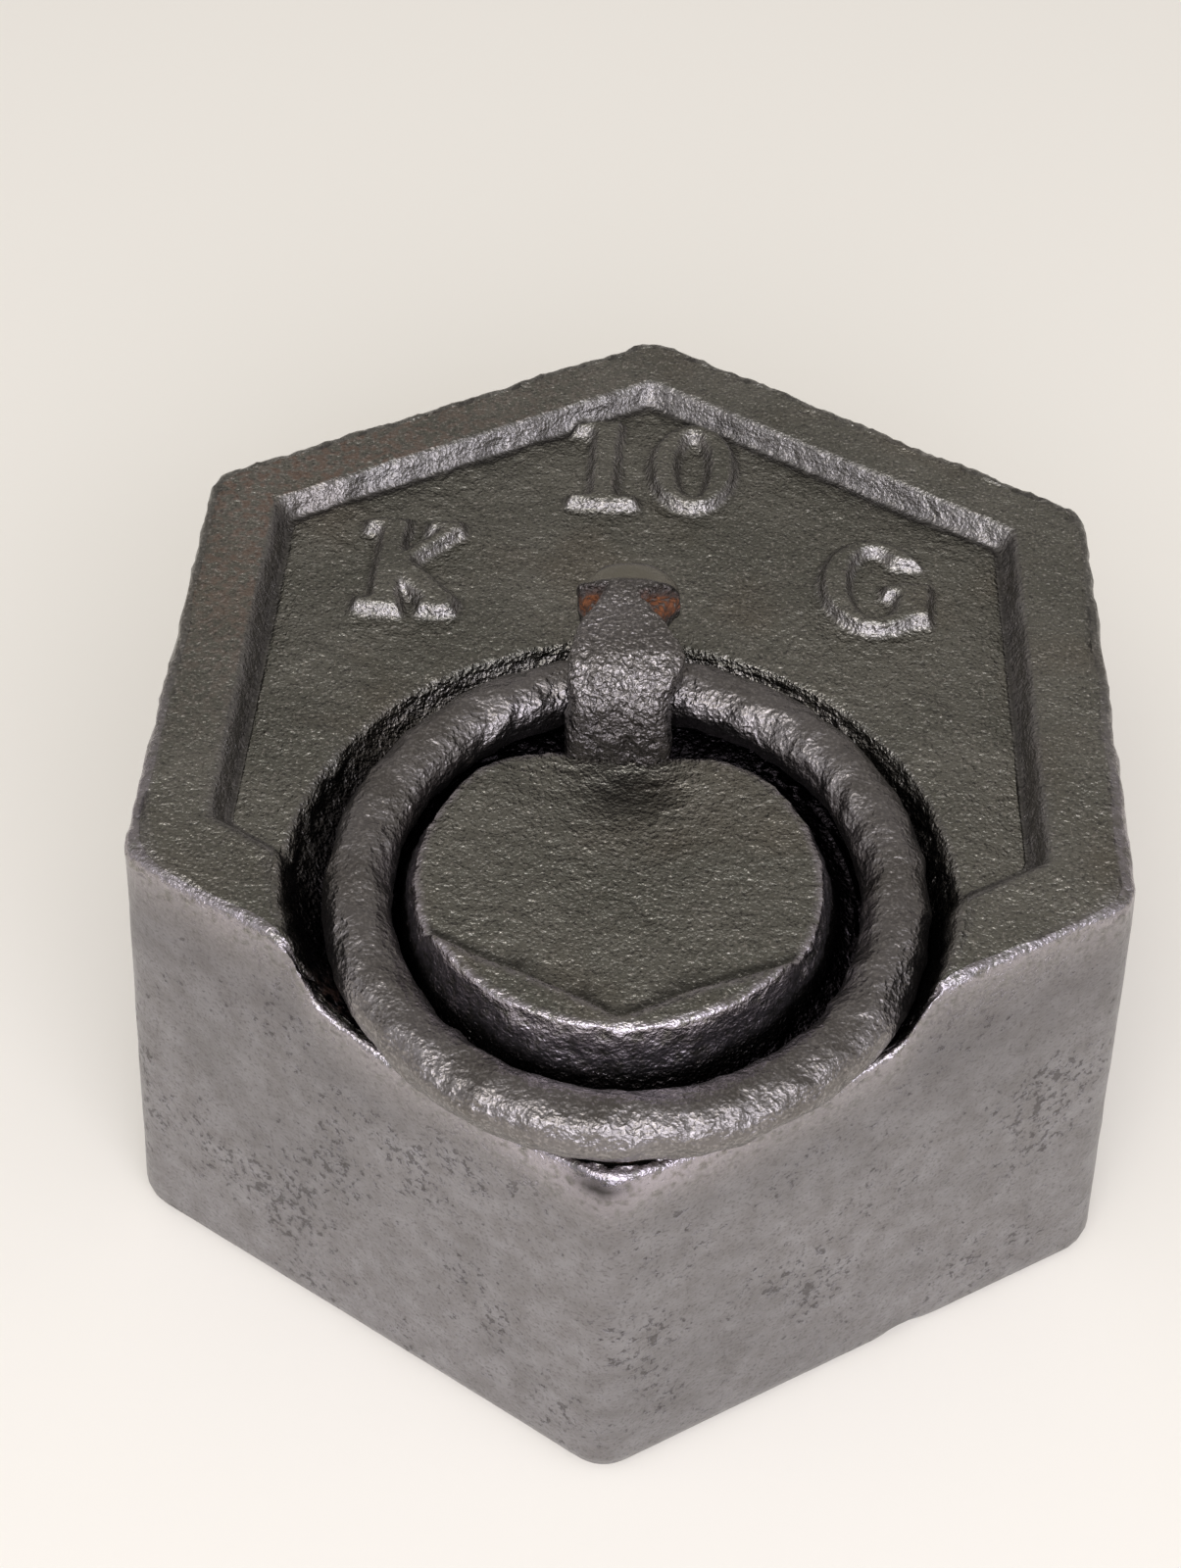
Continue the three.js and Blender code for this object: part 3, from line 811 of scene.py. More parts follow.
plan_x = block_grid[..., 0]
plan_y = block_grid[..., 1]
true_z = block_grid[..., 2]
push = row_values(SWAY) * ripple(block_grid, SWAY_SIZE, 1) * SWAY_SHARE
push += row_values(GRAIN) * ripple(block_grid, LUMP_SIZE, 2)
push += row_values(GRAIN) * GRAIN_SHARE * ripple(block_grid, GRAIN_SIZE, 3)
push *= 1 - FAR_CALM * smooth_step(*FAR_RUN, plan_y) * on_rows("outer_wall", "outer_lip")
push = np.clip(push, -DEEPEST, SKIN)
fin = spot(block_grid, FIN_PLACE, FIN_SIZE) * (true_z > 0.01)
push += FIN_OUT * fin
push[0] = push[0].mean()
rough_grid = block_grid + grid_normals(block_grid) * push[..., None]
rough_grid[..., 2] = np.maximum(rough_grid[..., 2], 0)
print("skin moved", round(float(push.min()), 2), "to", round(float(push.max()), 2), "mm")

# %% [markdown]
# The same rows tell the material what lies where. Places on the relief come from the true shape:
# the foot of each slope holds dirt and painted shade, and the upper edges of the figures and of the V
# are rubbed and carry painted highlight.

# %% Marks of the relief
SLOPE_SHIFT = 0.1
SLOPE_HALF = 0.9
STEP_EDGE_SHIFT = 0.5
STEP_EDGE_HALF = 0.8
DIRT_AND_SHADE_DEEP = 4.6
HOLLOW_DEEP = 6

# Dirt and painted shade at the foot of the relief's slopes.
dirt_and_shade_mark = dirt_and_shade(plan_x, plan_y) * (true_z > HEIGHT - DIRT_AND_SHADE_DEEP)
figure_slope = np.clip(1 - np.abs(figure_distance(plan_x, plan_y) + SLOPE_SHIFT) / SLOPE_HALF, 0, 1)
figure_slope = figure_slope * on_rows("panel")
step_edge = np.clip(1 - np.abs(boss_step(plan_x, plan_y) + STEP_EDGE_SHIFT) / STEP_EDGE_HALF, 0, 1)
step_edge = step_edge * on_rows("boss")
hollow_mark = in_hollow(plan_x, plan_y) * (true_z > HEIGHT - HOLLOW_DEEP)
print("dirt on", int((dirt_and_shade_mark > 0.5).sum()), "points of the relief")

# %% [markdown]
# Other marks are given by the place on the finished skin. Hands and the ring rub the front more
# than the back, which also faces the lamp, so rubbed edges with their painted highlight fade towards
# the back, and the groove's far wall gets painted highlight too. Rust stands in two places of the
# groove and on the rim at the back left, and painted shade lies under the lip of the front corner.

# %% Marks of wear, rust and dirt
# Rubbed places: wear, and a painted highlight where the front lamp lights lips, walls and edges.
WEAR_AND_HIGHLIGHT = {"lip": 0.8, "wall": 0.9, "outer_lip": 0.15, "rise": 0.1, "edge": 0.6}
SIDE = {"rise": 0.45, "edge": 0.3, "side": 1.0, "base": 1.0}
SHELTERED = {"wall": 0.5}
# Groove rows: dark dirt and painted shade on floor and walls; the rust spots follow them too.
GROOVE = {"floor": 1.0, "outer_wall": 0.75, "outer_lip": 0.2}
FRONT_RUN = (10, -30)
VERTEX_WEAR_AND_HIGHLIGHT = 0.4
# The groove's far wall faces the front lamp: a painted highlight on it.
FAR_WALL_HIGHLIGHT = 0.2
FIGURE_WEAR_AND_HIGHLIGHT = 0.25
STEP_WEAR_AND_HIGHLIGHT = 0.5
FIGURE_AS_SIDE = 0.2
# The far wall faces the front lamp, so it gets less painted shade.
FAR_WALL_LIGHTER = 0.75
RUST_PLACES = [((-41.5, -54.5, 69.0), 4.0), ((0.0, -75.5, 69.0), 5.0)]
RIM_RUST = 0.7
RIM_RUST_TURN = 2.2
RIM_RUST_FAN = 0.5
# A spot of painted shade under the lip of the front corner.
UNDER_LIP_SHADE_PLACE = np.array([-2.2, -78.8, 66.8])
UNDER_LIP_SHADE_SIZE = np.array([4.2, 3.5, 1.9])
UNDER_LIP_SHADE = 1.2
# Dirt and painted shade in the boss's hollow under the staple.
HOLLOW_DIRT_AND_SHADE = 0.7
# The fin is painted darker: a painted shade.
FIN_SHADE = 0.7

far = smooth_step(*FAR_RUN, rough_grid[..., 1])
front = np.maximum(smooth_step(*FRONT_RUN, rough_grid[..., 1]), on_rows("rise"))
far_wall = far * on_rows("outer_wall")
at_vertex = VERTEX_WEAR_AND_HIGHLIGHT * np.exp(-((rough_grid[..., 0] / VERTEX_HALF) ** 2)) * on_rows("edge") * front
# Wear and painted highlight of edges and relief, strongest in front.
rubbed_and_lit_edge = row_values(WEAR_AND_HIGHLIGHT) * front + at_vertex + FAR_WALL_HIGHLIGHT * far_wall
rubbed_and_lit_relief = FIGURE_WEAR_AND_HIGHLIGHT * figure_slope + STEP_WEAR_AND_HIGHLIGHT * step_edge
rust_spots = [spot(rough_grid, np.array(middle), size) for middle, size in RUST_PLACES]
rim_rust = RIM_RUST * np.exp(-(((RAY - RIM_RUST_TURN) / RIM_RUST_FAN) ** 2)) * on_rows("rim")
under_lip_shade = spot(rough_grid, UNDER_LIP_SHADE_PLACE, UNDER_LIP_SHADE_SIZE) * on_rows("edge", "side")
# Dirt and painted shade at the relief and in the staple's hollow, as one dark mark.
relief_dirt_and_shade = np.maximum(dirt_and_shade_mark * (1 - on_rows("lip")), HOLLOW_DIRT_AND_SHADE * hollow_mark)
marks = {
    "wear_and_highlight": np.maximum(rubbed_and_lit_edge, rubbed_and_lit_relief),
    "side": np.maximum(row_values(SIDE), FIGURE_AS_SIDE * figure_slope),
    "groove": row_values(GROOVE) * (1 - FAR_WALL_LIGHTER * far_wall),
    "sheltered": row_values(SHELTERED) * front,
    "rusty": np.maximum(*rust_spots) * row_values(GROOVE) + rim_rust,
    "dirt_and_shade": relief_dirt_and_shade + UNDER_LIP_SHADE * under_lip_shade + FIN_SHADE * fin,
}
marks = {mark: values[:, ::-1] for mark, values in marks.items()}
block = make_piece("weight_body", rough_grid[:, ::-1], marks=marks)

# %% [markdown]
# The ring is a round bar, bent and forge-welded by hand. Its section is a circle carried round a
# larger circle, with shallow hammer flats, and its lower front is rubbed flatter where it lies
# on the block. It lies tilted in its groove, front lower. It has no rust and no painted shade, but
# its material asks for those marks too, so they are nought all over.

# %% Lifting ring
RING_ALONG = 340
RING_AROUND = 56
HAMMER = 0.22
HAMMER_SIZE = 9
RING_DENT = 0.05
RING_DENT_SIZE = 3
RING_FINE = 0.025
RING_FINE_SIZE = 1.3
RING_FULL = 0.12
RING_LOSS = (-0.1, 0.5)
RUBBED_TURN = 0.73
RUBBED_DEEP = 0.5
RING_ROUGH = 0.35

along = np.linspace(0, 2 * math.pi, RING_ALONG, endpoint=False)[:, None]
around = np.linspace(0, 2 * math.pi, RING_AROUND, endpoint=False)[None, :]


def ring_points(bar):
    """A bar of radius bar carried round the ring, tilted about the bar's middle at the back."""
    out = RING_RADIUS + bar * np.cos(around)
    x = out * np.cos(along)
    y = out * np.sin(along) - RING_RADIUS
    z = bar * np.sin(around) + 0 * along
    tilted_y = y * math.cos(TILT) - z * math.sin(TILT) + RING_BACK_Y
    tilted_z = y * math.sin(TILT) + z * math.cos(TILT) + RING_BACK_Z
    return np.stack([x, tilted_y, tilted_z], axis=-1)


smooth_ring = ring_points(BAR)
hammered = np.abs(ripple(smooth_ring, HAMMER_SIZE, 11)) * HAMMER
hammered = hammered + RING_DENT * ripple(smooth_ring, RING_DENT_SIZE, 12)
fine = RING_FINE * ripple(smooth_ring, RING_FINE_SIZE, 13)
lower_front = smooth_step(0.2, 1, np.cos(around + RUBBED_TURN)) * smooth_step(0.2, 0.8, -np.sin(along))
rubbed_flat = RUBBED_DEEP * lower_front
ring_grid = ring_points(BAR + RING_FULL - np.clip(hammered + fine, *RING_LOSS) - rubbed_flat)
ring_marks = {mark: np.zeros(ring_grid.shape[:2]) for mark in ("rusty", "painted_shade")}
ring_marks["rough"] = RING_ROUGH * np.ones(ring_grid.shape[:2])
ring = make_piece("hammered_ring", ring_grid[:, ::-1], closed=True, marks=ring_marks)

# %% [markdown]
# The staple is a flat bar bent over the ring, in a wide bend in front and a close one at the back.
# Its section, a rectangle with round corners, is carried along the bend as a closed tube. Most rows
# lie where the staple shows, and few in the legs inside the block.

# %% Staple path
STAPLE_X = (STAPLE_HIGH[0] + STAPLE_LOW[0]) / 2
STRAP_THICK = 7.0
STAPLE_TOP = STAPLE_HIGH[2]
EYE_Z = STAPLE_TOP - STRAP_THICK
FRONT_Y = -14.4
BACK_Y = 13.8
FRONT_ROUND = 10.0
BACK_ROUND = 5.0
LEG_END_Z = 10.0
LEG_BEND_Z = 24.0
LEG_SPLAY = 4.0
LEG_SHARE = 0.12
HIDDEN_BELOW = HEIGHT - 9
BEND_STEPS = 16
STAPLE_ROWS = 240
STAPLE_AROUND = 120


def bend(centre_y, radius, start_turn, end_turn):
    """Points of a quarter turn of the strap's middle line, which touches the top line."""
    turn_by = np.linspace(start_turn, end_turn, BEND_STEPS)
    centre_z = STAPLE_TOP - STRAP_THICK / 2 - radius
    return np.stack([centre_y + radius * np.cos(turn_by), centre_z + radius * np.sin(turn_by)], -1)


middle_front = FRONT_Y + STRAP_THICK / 2
middle_back = BACK_Y - STRAP_THICK / 2
path = np.concatenate([
    [[middle_front - LEG_SPLAY, LEG_END_Z], [middle_front, LEG_BEND_Z]],
    bend(FRONT_Y + FRONT_ROUND, FRONT_ROUND - STRAP_THICK / 2, math.pi, math.pi / 2),
    bend(BACK_Y - BACK_ROUND, BACK_ROUND - STRAP_THICK / 2, math.pi / 2, 0),
    [[middle_back, LEG_BEND_Z], [middle_back + LEG_SPLAY, LEG_END_Z]],
])
step_length = np.hypot(*np.diff(path, axis=0).T)
travel = np.concatenate([[0], np.cumsum(step_length)])
share = np.linspace(0, 1, STAPLE_ROWS)
hidden = np.interp([HIDDEN_BELOW], path[1:3, 1], travel[1:3])[0] / travel[-1]
place = np.interp(share, [0, LEG_SHARE, 1 - LEG_SHARE, 1], [0, hidden, 1 - hidden, 1]) * travel[-1]
line = np.stack([np.interp(place, travel, path[:, 0]), np.interp(place, travel, path[:, 1])], axis=-1)
heading = np.gradient(line, axis=0)
heading /= np.linalg.norm(heading, axis=-1, keepdims=True)
print("strap length", round(travel[-1], 1), "mm, middle at x", round(STAPLE_X, 2))

# %% [markdown]
# The width changes along the bend. A broad foot is hammered tight on the boss, the right side is
# drawn in above it, and the top has a waist. Each half of the section is as wide as a drawn outline
# says, read off at the place along the strap.

# %% Staple section
OUTLINE_Y = [-8.0, -6.0, -3.5, 0.0, 2.2, 4.5, 7.0, 9.0]
OUTLINE_LEFT = [8.0, 8.0, 7.7, 6.5, 5.4, 6.4, 7.6, 7.6]
OUTLINE_RIGHT = [7.6, 7.6, 6.7, 4.9, 3.9, 5.2, 6.8, 6.8]
CORNER_POWER = 6
CORNER_CROWD = 0.25
BACK_NARROW = 0.35
FOOT_SPREAD = 0.6
LEFT_FOOT_SHARE = 0.8
DRAWN_IN = 1.9
LEFT_DRAWN_SHARE = 0.2
CROWN = 0.10

side_turn = np.linspace(0, 2 * math.pi, STAPLE_AROUND, endpoint=False)
side_turn = side_turn + CORNER_CROWD * np.sin(2 * side_turn)
square = np.abs(np.cos(side_turn)) ** CORNER_POWER + np.abs(np.sin(side_turn)) ** CORNER_POWER
square = square ** (-1 / CORNER_POWER)
across_x = square * np.cos(side_turn)
across_out = square * np.sin(side_turn)

path_y = line[:, :1]
path_z = line[:, 1:]
in_front = smooth_step(0, -4, path_y)
on_top = smooth_step(EYE_Z - 1, EYE_Z + 2, path_z)
foot = FOOT_SPREAD * smooth_step(HEIGHT + 2.2, HEIGHT - 0.2, path_z) * in_front
drawn_in = DRAWN_IN * smooth_step(HEIGHT + 7, HEIGHT + 3.5, path_z) * in_front
end_shrink = np.minimum(1, 0.4 + 40 * np.minimum(share, 1 - share))[:, None]
behind_low = 1 - BACK_NARROW * smooth_step(88, 84, path_z) * (path_y > 4)
left_half = np.interp(path_y, OUTLINE_Y, OUTLINE_LEFT) + LEFT_FOOT_SHARE * foot
left_half = (left_half - LEFT_DRAWN_SHARE * drawn_in) * end_shrink * behind_low
right_half = (np.interp(path_y, OUTLINE_Y, OUTLINE_RIGHT) + foot - drawn_in) * end_shrink * behind_low
half_thick = STRAP_THICK / 2 * end_shrink
outward = np.stack([-heading[:, 1], heading[:, 0]], axis=-1)
crown = 1 - CROWN * across_x**2 * on_top
x = np.where(across_x < 0, left_half, right_half) * across_x
y = path_y + outward[:, :1] * half_thick * across_out * crown - foot * (across_out > 0) * across_out
z = path_z + outward[:, 1:] * half_thick * across_out * crown
print("strap from", round(float(x.min()), 1), "to", round(float(x.max()), 1), "mm across")

# %% [markdown]
# Two three-cornered hollows in the top leave a neck in front of the round back shoulder. Rain and
# sweat stay in them, so they are rusty. Behind them the shoulder falls away to both sides.

# %% Hollows and shoulder of the staple
LEFT_HOLLOW = [(-9.5, 6.8), (-9.5, 3.0), (-6.0, 1.6), (-4.4, 3.2), (-3.6, 6.4)]
RIGHT_HOLLOW = [(0.5, 5.4), (4.2, 0.3), (9.5, 1.2), (9.5, 8.2), (6.6, 7.6)]
NOTCH_DEEP = 1.9
SHOULDER_Y = 7.2
SHOULDER_DROP = 0.045
SHOULDER_BEND = 0.030


def inside_corners(px, py, corners):
    """How far a point lies inside a polygon whose corners run anticlockwise.

    It is the least distance inside its sides, each taken as an endless line.
    """
    depth = np.full(np.broadcast(px, py).shape, 99.0)
    for (x0, y0), (x1, y1) in zip(corners, corners[1:] + corners[:1]):
        run = math.hypot(x1 - x0, y1 - y0)
        depth = np.minimum(depth, ((x1 - x0) * (py - y0) - (y1 - y0) * (px - x0)) / run)
    return depth


hollow_depth = np.maximum(inside_corners(x, y, LEFT_HOLLOW), inside_corners(x, y, RIGHT_HOLLOW))
in_rust = smooth_step(-0.3, 0.6, hollow_depth)
above_eye = np.clip((z - EYE_Z) / STRAP_THICK, 0, 1)
z = z - in_rust * above_eye * NOTCH_DEEP * np.clip((y + 1) / 6, 0.2, 1)
shoulder = smooth_step(SHOULDER_Y - 1, SHOULDER_Y + 2.5, y)
z = z - shoulder * above_eye * SHOULDER_DROP * x**2
y = y - shoulder * SHOULDER_BEND * x**2
staple_grid = np.stack([x, y + 0 * x, z + 0 * x], axis=-1)
print("hollows on", int((in_rust > 0.5).sum()), "points")

# %% [markdown]
# The smith's hammer left the bar rough, apart from the back shoulder, which stayed smooth. Marks
# tell the material where it is rusty, where it takes painted shade, and where it is rough.

# %% Staple skin and marks
BLOW_DEEP = 0.20
BLOW_SIZE = 6.0
DENT_DEEP = 0.06
DENT_SIZE = 2.3
SCALE_DEEP = 0.05
SCALE_SIZE = 1.2
EVEN_LOSS = 0.14
SMOOTH_SHARE = 0.2

# Painted shade: the back walls of the hollows and the strap below its top are painted dark.
hollow_wall_shade = smooth_step(-0.9, -0.1, hollow_depth) * smooth_step(0.9, 0.3, hollow_depth)
hollow_wall_shade = 0.8 * hollow_wall_shade * smooth_step(5.0, 6.2, y) * smooth_step(0.2, 0.5, above_eye)
lower_strap_shade = 0.25 + 0.4 * smooth_step(STAPLE_TOP - 3, HEIGHT + 3, z)
lower_strap_shade = lower_strap_shade * smooth_step(STAPLE_TOP - 1, STAPLE_TOP - 3, z)
rough = 1 - smooth_step(6.8, 8, staple_grid[..., 1]) * smooth_step(13, 11, staple_grid[..., 1])
blows = BLOW_DEEP * np.abs(ripple(staple_grid, BLOW_SIZE, 21))
blows = blows + DENT_DEEP * ripple(staple_grid, DENT_SIZE, 22)
blows = EVEN_LOSS + blows + SCALE_DEEP * ripple(staple_grid, SCALE_SIZE, 23)
blows = blows * np.maximum(rough, SMOOTH_SHARE)
staple_grid = staple_grid - grid_normals(staple_grid) * np.clip(blows, 0.02, 0.9)[..., None]
staple_grid[..., 2] = np.minimum(staple_grid[..., 2], STAPLE_TOP)
staple_grid[..., 0] += STAPLE_X
staple_grid[0] = staple_grid[0].mean(axis=0)
staple_grid[-1] = staple_grid[-1].mean(axis=0)
staple_marks = {
    "rusty": in_rust * smooth_step(0.35, 0.6, above_eye) + 0 * x,
    "painted_shade": np.maximum(hollow_wall_shade, lower_strap_shade) + 0 * x,
    "rough": np.clip(rough, 0, 1),
}
staple_marks = {mark: values[::-1] for mark, values in staple_marks.items()}
staple = make_piece("bent_staple", staple_grid[::-1], marks=staple_marks)

# %% [markdown]
# Lead was poured round the staple's legs through the pocket's mouth. Its free face is a shallow
# pool with the ripples of cooling, and its top fills the pocket to the roof.

# %% Lead
LEAD_AROUND = 128
LEAD_BOTTOM = LEAD_LOW[2]
LEAD_TOP = LEAD_HIGH[2]
LEAD_FIT = 0.3
POOL_DISH = 0.5
POOL_RIPPLE = 0.14
RIM_CHAMFER = 0.6
lead_turn = np.linspace(0, 2 * math.pi, LEAD_AROUND, endpoint=False)
lead_slope = (POCKET_ROOF - POCKET_MOUTH) / POCKET_HEIGHT


def lead_row(radius, z):
    """A round row of the lead at one height."""
    return np.stack([radius * np.cos(lead_turn), radius * np.sin(lead_turn), z + 0 * lead_turn], axis=-1)


lead_mouth = POCKET_MOUTH + lead_slope * LEAD_BOTTOM - LEAD_FIT
lead_roof = POCKET_MOUTH + lead_slope * LEAD_TOP - LEAD_FIT
pool_shares = np.linspace(0, 0.97, 20)
pool = [lead_row(lead_mouth * share, LEAD_BOTTOM + POOL_DISH * (1 - share)) for share in pool_shares]
wall = [lead_row(lead_mouth, LEAD_BOTTOM + RIM_CHAMFER), lead_row(lead_roof, LEAD_TOP - RIM_CHAMFER)]
roof = [lead_row(lead_roof * share, LEAD_TOP) for share in (0.98, 0.6, 0.0)]
lead_grid = np.stack(pool + wall + roof)
pool_rows = np.arange(len(lead_grid))[:, None] < len(pool)
lead_grid[..., 2] += np.where(pool_rows, np.clip(POOL_RIPPLE * ripple(lead_grid, 7, 31), 0, 0.4), 0)
lead_grid[0] = lead_grid[0].mean(axis=0)
lead = make_piece("poured_lead", lead_grid)

# %% [markdown]
# Colours are written as the sRGB values that one would pick in a paint program, and one function
# turns them to the linear values that Blender mixes. Another adds a node, sets what it is given,
# links what comes from another node, and hands back one of the node's outputs.


# %% Colour and node helpers
def linear(hex_colour):
    """An sRGB hex colour as linear red, green, blue and 1."""
    parts = np.array([int(hex_colour[i:i + 2], 16) for i in (1, 3, 5)]) / 255
    curve = np.where(parts <= 0.04045, parts / 12.92, ((parts + 0.055) / 1.055) ** 2.4)
    return (*[float(part) for part in curve], 1.0)


def add(tree, kind, sockets=None, out=0, **settings):
    """Adds a node with its settings, fills its sockets with values or links, returns an output."""
    node = tree.nodes.new(kind)
    for name, value in settings.items():
        setattr(node, name, value)
    for name, value in (sockets or {}).items():
        if isinstance(value, bpy.types.NodeSocket):
            tree.links.new(value, node.inputs[name])
        else:
            node.inputs[name].default_value = value
    return node.outputs[out] if node.outputs else None


def blank_material(name):
    """A material with an empty node tree, the tree, and the place on the piece in millimetres."""
    material = bpy.data.materials.new(name)
    material.use_nodes = True
    tree = material.node_tree
    tree.nodes.clear()
    metres = add(tree, "ShaderNodeTexCoord", out="Object")
    to_millimetres = (1 / MM, 1 / MM, 1 / MM)
    place = add(tree, "ShaderNodeVectorMath", {0: metres, 1: to_millimetres}, operation="MULTIPLY")
    return material, tree, place


NOISE = "ShaderNodeTexNoise"
RANGE = "ShaderNodeMapRange"
MIX = "ShaderNodeMix"
MATH = "ShaderNodeMath"
MARK = "ShaderNodeAttribute"
BUMP = "ShaderNodeBump"
print("a middle grey is", round(linear("#808080")[0], 3), "when it is made linear")

# %% [markdown]
# The block is grey cast iron, blacked with graphite and rubbed by hands. That makes it a dark
# satin metal. The top kept the sand's grain; the sides are smoother, with clusters of small dark
# pits. Edges are rubbed bright and carry painted highlight, and dirt and painted shade darken the
# groove and the corners of the relief.
# A noise's scale is one over the size of its cells in millimetres, so the grit's 2 means half a
# millimetre, the grain's 0.75 means 1.3, the lumps' 0.4 means 2.5 and the cloud's 0.07 means 14.
# Real casting sand is finer than half a millimetre, but that would not show in the picture.

# %% Cast iron: marks and grain
iron, tree, place = blank_material("blacked_cast_iron")
side = add(tree, MARK, out="Fac", attribute_name="side")
wear_and_highlight = add(tree, MARK, out="Fac", attribute_name="wear_and_highlight")
groove = add(tree, MARK, out="Fac", attribute_name="groove")
# Dark mark: dirt and painted shade at the relief and the hollow, painted shade under the front lip and on
# the fin.
shade_and_dirt = add(tree, MARK, out="Fac", attribute_name="dirt_and_shade")
rusty = add(tree, MARK, out="Fac", attribute_name="rusty")
sheltered = add(tree, MARK, out="Fac", attribute_name="sheltered")

grit = add(tree, NOISE, {"Vector": place, "Scale": 2.0, "Detail": 1.5, "Roughness": 0.5})
grain = add(tree, NOISE, {"Vector": place, "Scale": 0.75, "Detail": 1})
lumps = add(tree, NOISE, {"Vector": place, "Scale": 0.4, "Detail": 1})
cloud = add(tree, NOISE, {"Vector": place, "Scale": 0.07, "Detail": 3})
print(iron.name, "has", len(tree.nodes), "nodes so far")

# %% [markdown]
# The blacking on the top is greenish grey and cloudy, with a breath of brown rust. The grit's peaks
# carry pale flecks, which are painted glints, and its hollows hold dark dirt.

# %% Cast iron: colour of the top
cloud = add(tree, RANGE, {0: cloud, 1: 0.38, 2: 0.64})
top_colour = add(tree, MIX, {0: cloud, 6: linear("#78776f"), 7: linear("#88867e")}, 2, data_type="RGBA")
rust_cloud = add(tree, NOISE, {"Vector": place, "Scale": 0.045, "Detail": 2})
rust_cloud = add(tree, RANGE, {0: rust_cloud, 1: 0.54, 2: 0.68, 4: 0.3})
top_colour = add(tree, MIX, {0: rust_cloud, 6: top_colour, 7: linear("#786c5d")}, 2, data_type="RGBA")
# Pale flecks on the grit's peaks are painted glints.
glint_fleck = add(tree, RANGE, {0: grit, 1: 0.58, 2: 0.70, 4: 0.8})
top_colour = add(tree, MIX, {0: glint_fleck, 6: top_colour, 7: linear("#b4afa8")}, 2, data_type="RGBA")
hole = add(tree, RANGE, {0: grit, 1: 0.42, 2: 0.32, 4: 0.6})
top_colour = add(tree, MIX, {0: hole, 6: top_colour, 7: linear("#4a4844")}, 2, data_type="RGBA")
print(iron.name, "has", len(tree.nodes), "nodes so far")

# %% [markdown]
# The sides are a lighter grey, mottled and smeared, and painted shade makes them darker towards the
# top. Small pits stand close together in clusters 16 mm across: a fine noise shows only where a
# coarse one lowers its bar.

# %% Cast iron: colour of the sides
mottle = add(tree, NOISE, {"Vector": place, "Scale": 0.22, "Detail": 4, "Roughness": 0.65})
mottle = add(tree, RANGE, {0: mottle, 1: 0.36, 2: 0.66})
side_colour = add(tree, MIX, {0: mottle, 6: linear("#868384"), 7: linear("#99979a")}, 2, data_type="RGBA")
smear = add(tree, NOISE, {"Vector": place, "Scale": 0.035, "Detail": 3, "Roughness": 0.6})
smear = add(tree, RANGE, {0: smear, 1: 0.46, 2: 0.66, 4: 0.3})
side_colour = add(tree, MIX, {0: smear, 6: side_colour, 7: linear("#6d6b6c")}, 2, data_type="RGBA")
# Painted shade: the sides darker towards the top.
painted_top_shade = add(tree, "ShaderNodeSeparateXYZ", {0: place}, "Z")
painted_top_shade = add(tree, RANGE, {0: painted_top_shade, 1: 48, 2: 80, 4: 0.45}, interpolation_type="SMOOTHSTEP")
side_colour = add(tree, MIX, {0: painted_top_shade, 6: side_colour, 7: linear("#565254")}, 2, data_type="RGBA")
cluster = add(tree, NOISE, {"Vector": place, "Scale": 0.06, "Detail": 2, "Roughness": 0.5})
cluster = add(tree, RANGE, {0: cluster, 1: 0.42, 2: 0.66, 3: 0.68, 4: 0.52})
pit = add(tree, NOISE, {"Vector": place, "Scale": 0.75, "Detail": 3, "Roughness": 0.65})
pit = add(tree, MATH, {0: pit, 1: cluster}, operation="SUBTRACT")
pit = add(tree, RANGE, {0: pit, 1: 0.0, 2: 0.06})
pit = add(tree, MATH, {0: pit, 1: side}, operation="MULTIPLY")
speck = add(tree, RANGE, {0: grit, 1: 0.46, 2: 0.30, 4: 0.5})
side_colour = add(tree, MIX, {0: speck, 6: side_colour, 7: linear("#5c5759")}, 2, data_type="RGBA")
pit_shade = add(tree, MATH, {0: pit, 1: 0.6}, operation="MULTIPLY")
side_colour = add(tree, MIX, {0: pit_shade, 6: side_colour, 7: linear("#423d3c")}, 2, data_type="RGBA")
print(iron.name, "has", len(tree.nodes), "nodes so far")

# %% [markdown]
# The marks of the mesh now choose between top and sides, and lay over them, in the order in which
# they came: wear with painted highlight, dirt and painted shade in the groove, rust, and dirt and
# painted shade at the relief. Rust is no metal, so it also lowers the metallic value.

# %% Cast iron: wear, rust and dirt
colour = add(tree, MIX, {0: side, 6: top_colour, 7: side_colour}, 2, data_type="RGBA")
patchy = add(tree, RANGE, {0: grain, 1: 0.30, 2: 0.52, 3: 0.2, 4: 1.0})
rubbed_and_lit = add(tree, MATH, {0: wear_and_highlight, 1: patchy}, operation="MULTIPLY")
# Pale rubbed colour: wear and painted highlight.
colour = add(tree, MIX, {0: rubbed_and_lit, 6: colour, 7: linear("#b6afb6")}, 2, data_type="RGBA")
# The groove is darkened by dirt and painted shade.
colour = add(tree, MIX, {0: groove, 6: colour, 7: linear("#2a272a")}, 2, data_type="RGBA")
rusty_share = add(tree, RANGE, {0: grain, 1: 0.4, 2: 0.6})
rusty = add(tree, MATH, {0: rusty, 1: rusty_share}, operation="MULTIPLY")
colour = add(tree, MIX, {0: rusty, 6: colour, 7: linear("#50331f")}, 2, data_type="RGBA")
metal = add(tree, MATH, {0: 1.0, 1: rusty}, operation="SUBTRACT")
# Darkened by dirt and painted shade.
shade_and_dirt = add(tree, MATH, {0: shade_and_dirt, 1: 0.85}, operation="MULTIPLY")
colour = add(tree, MIX, {0: shade_and_dirt, 6: colour, 7: linear("#2e2c2a")}, 2, data_type="RGBA")
print(iron.name, "has", len(tree.nodes), "nodes so far")

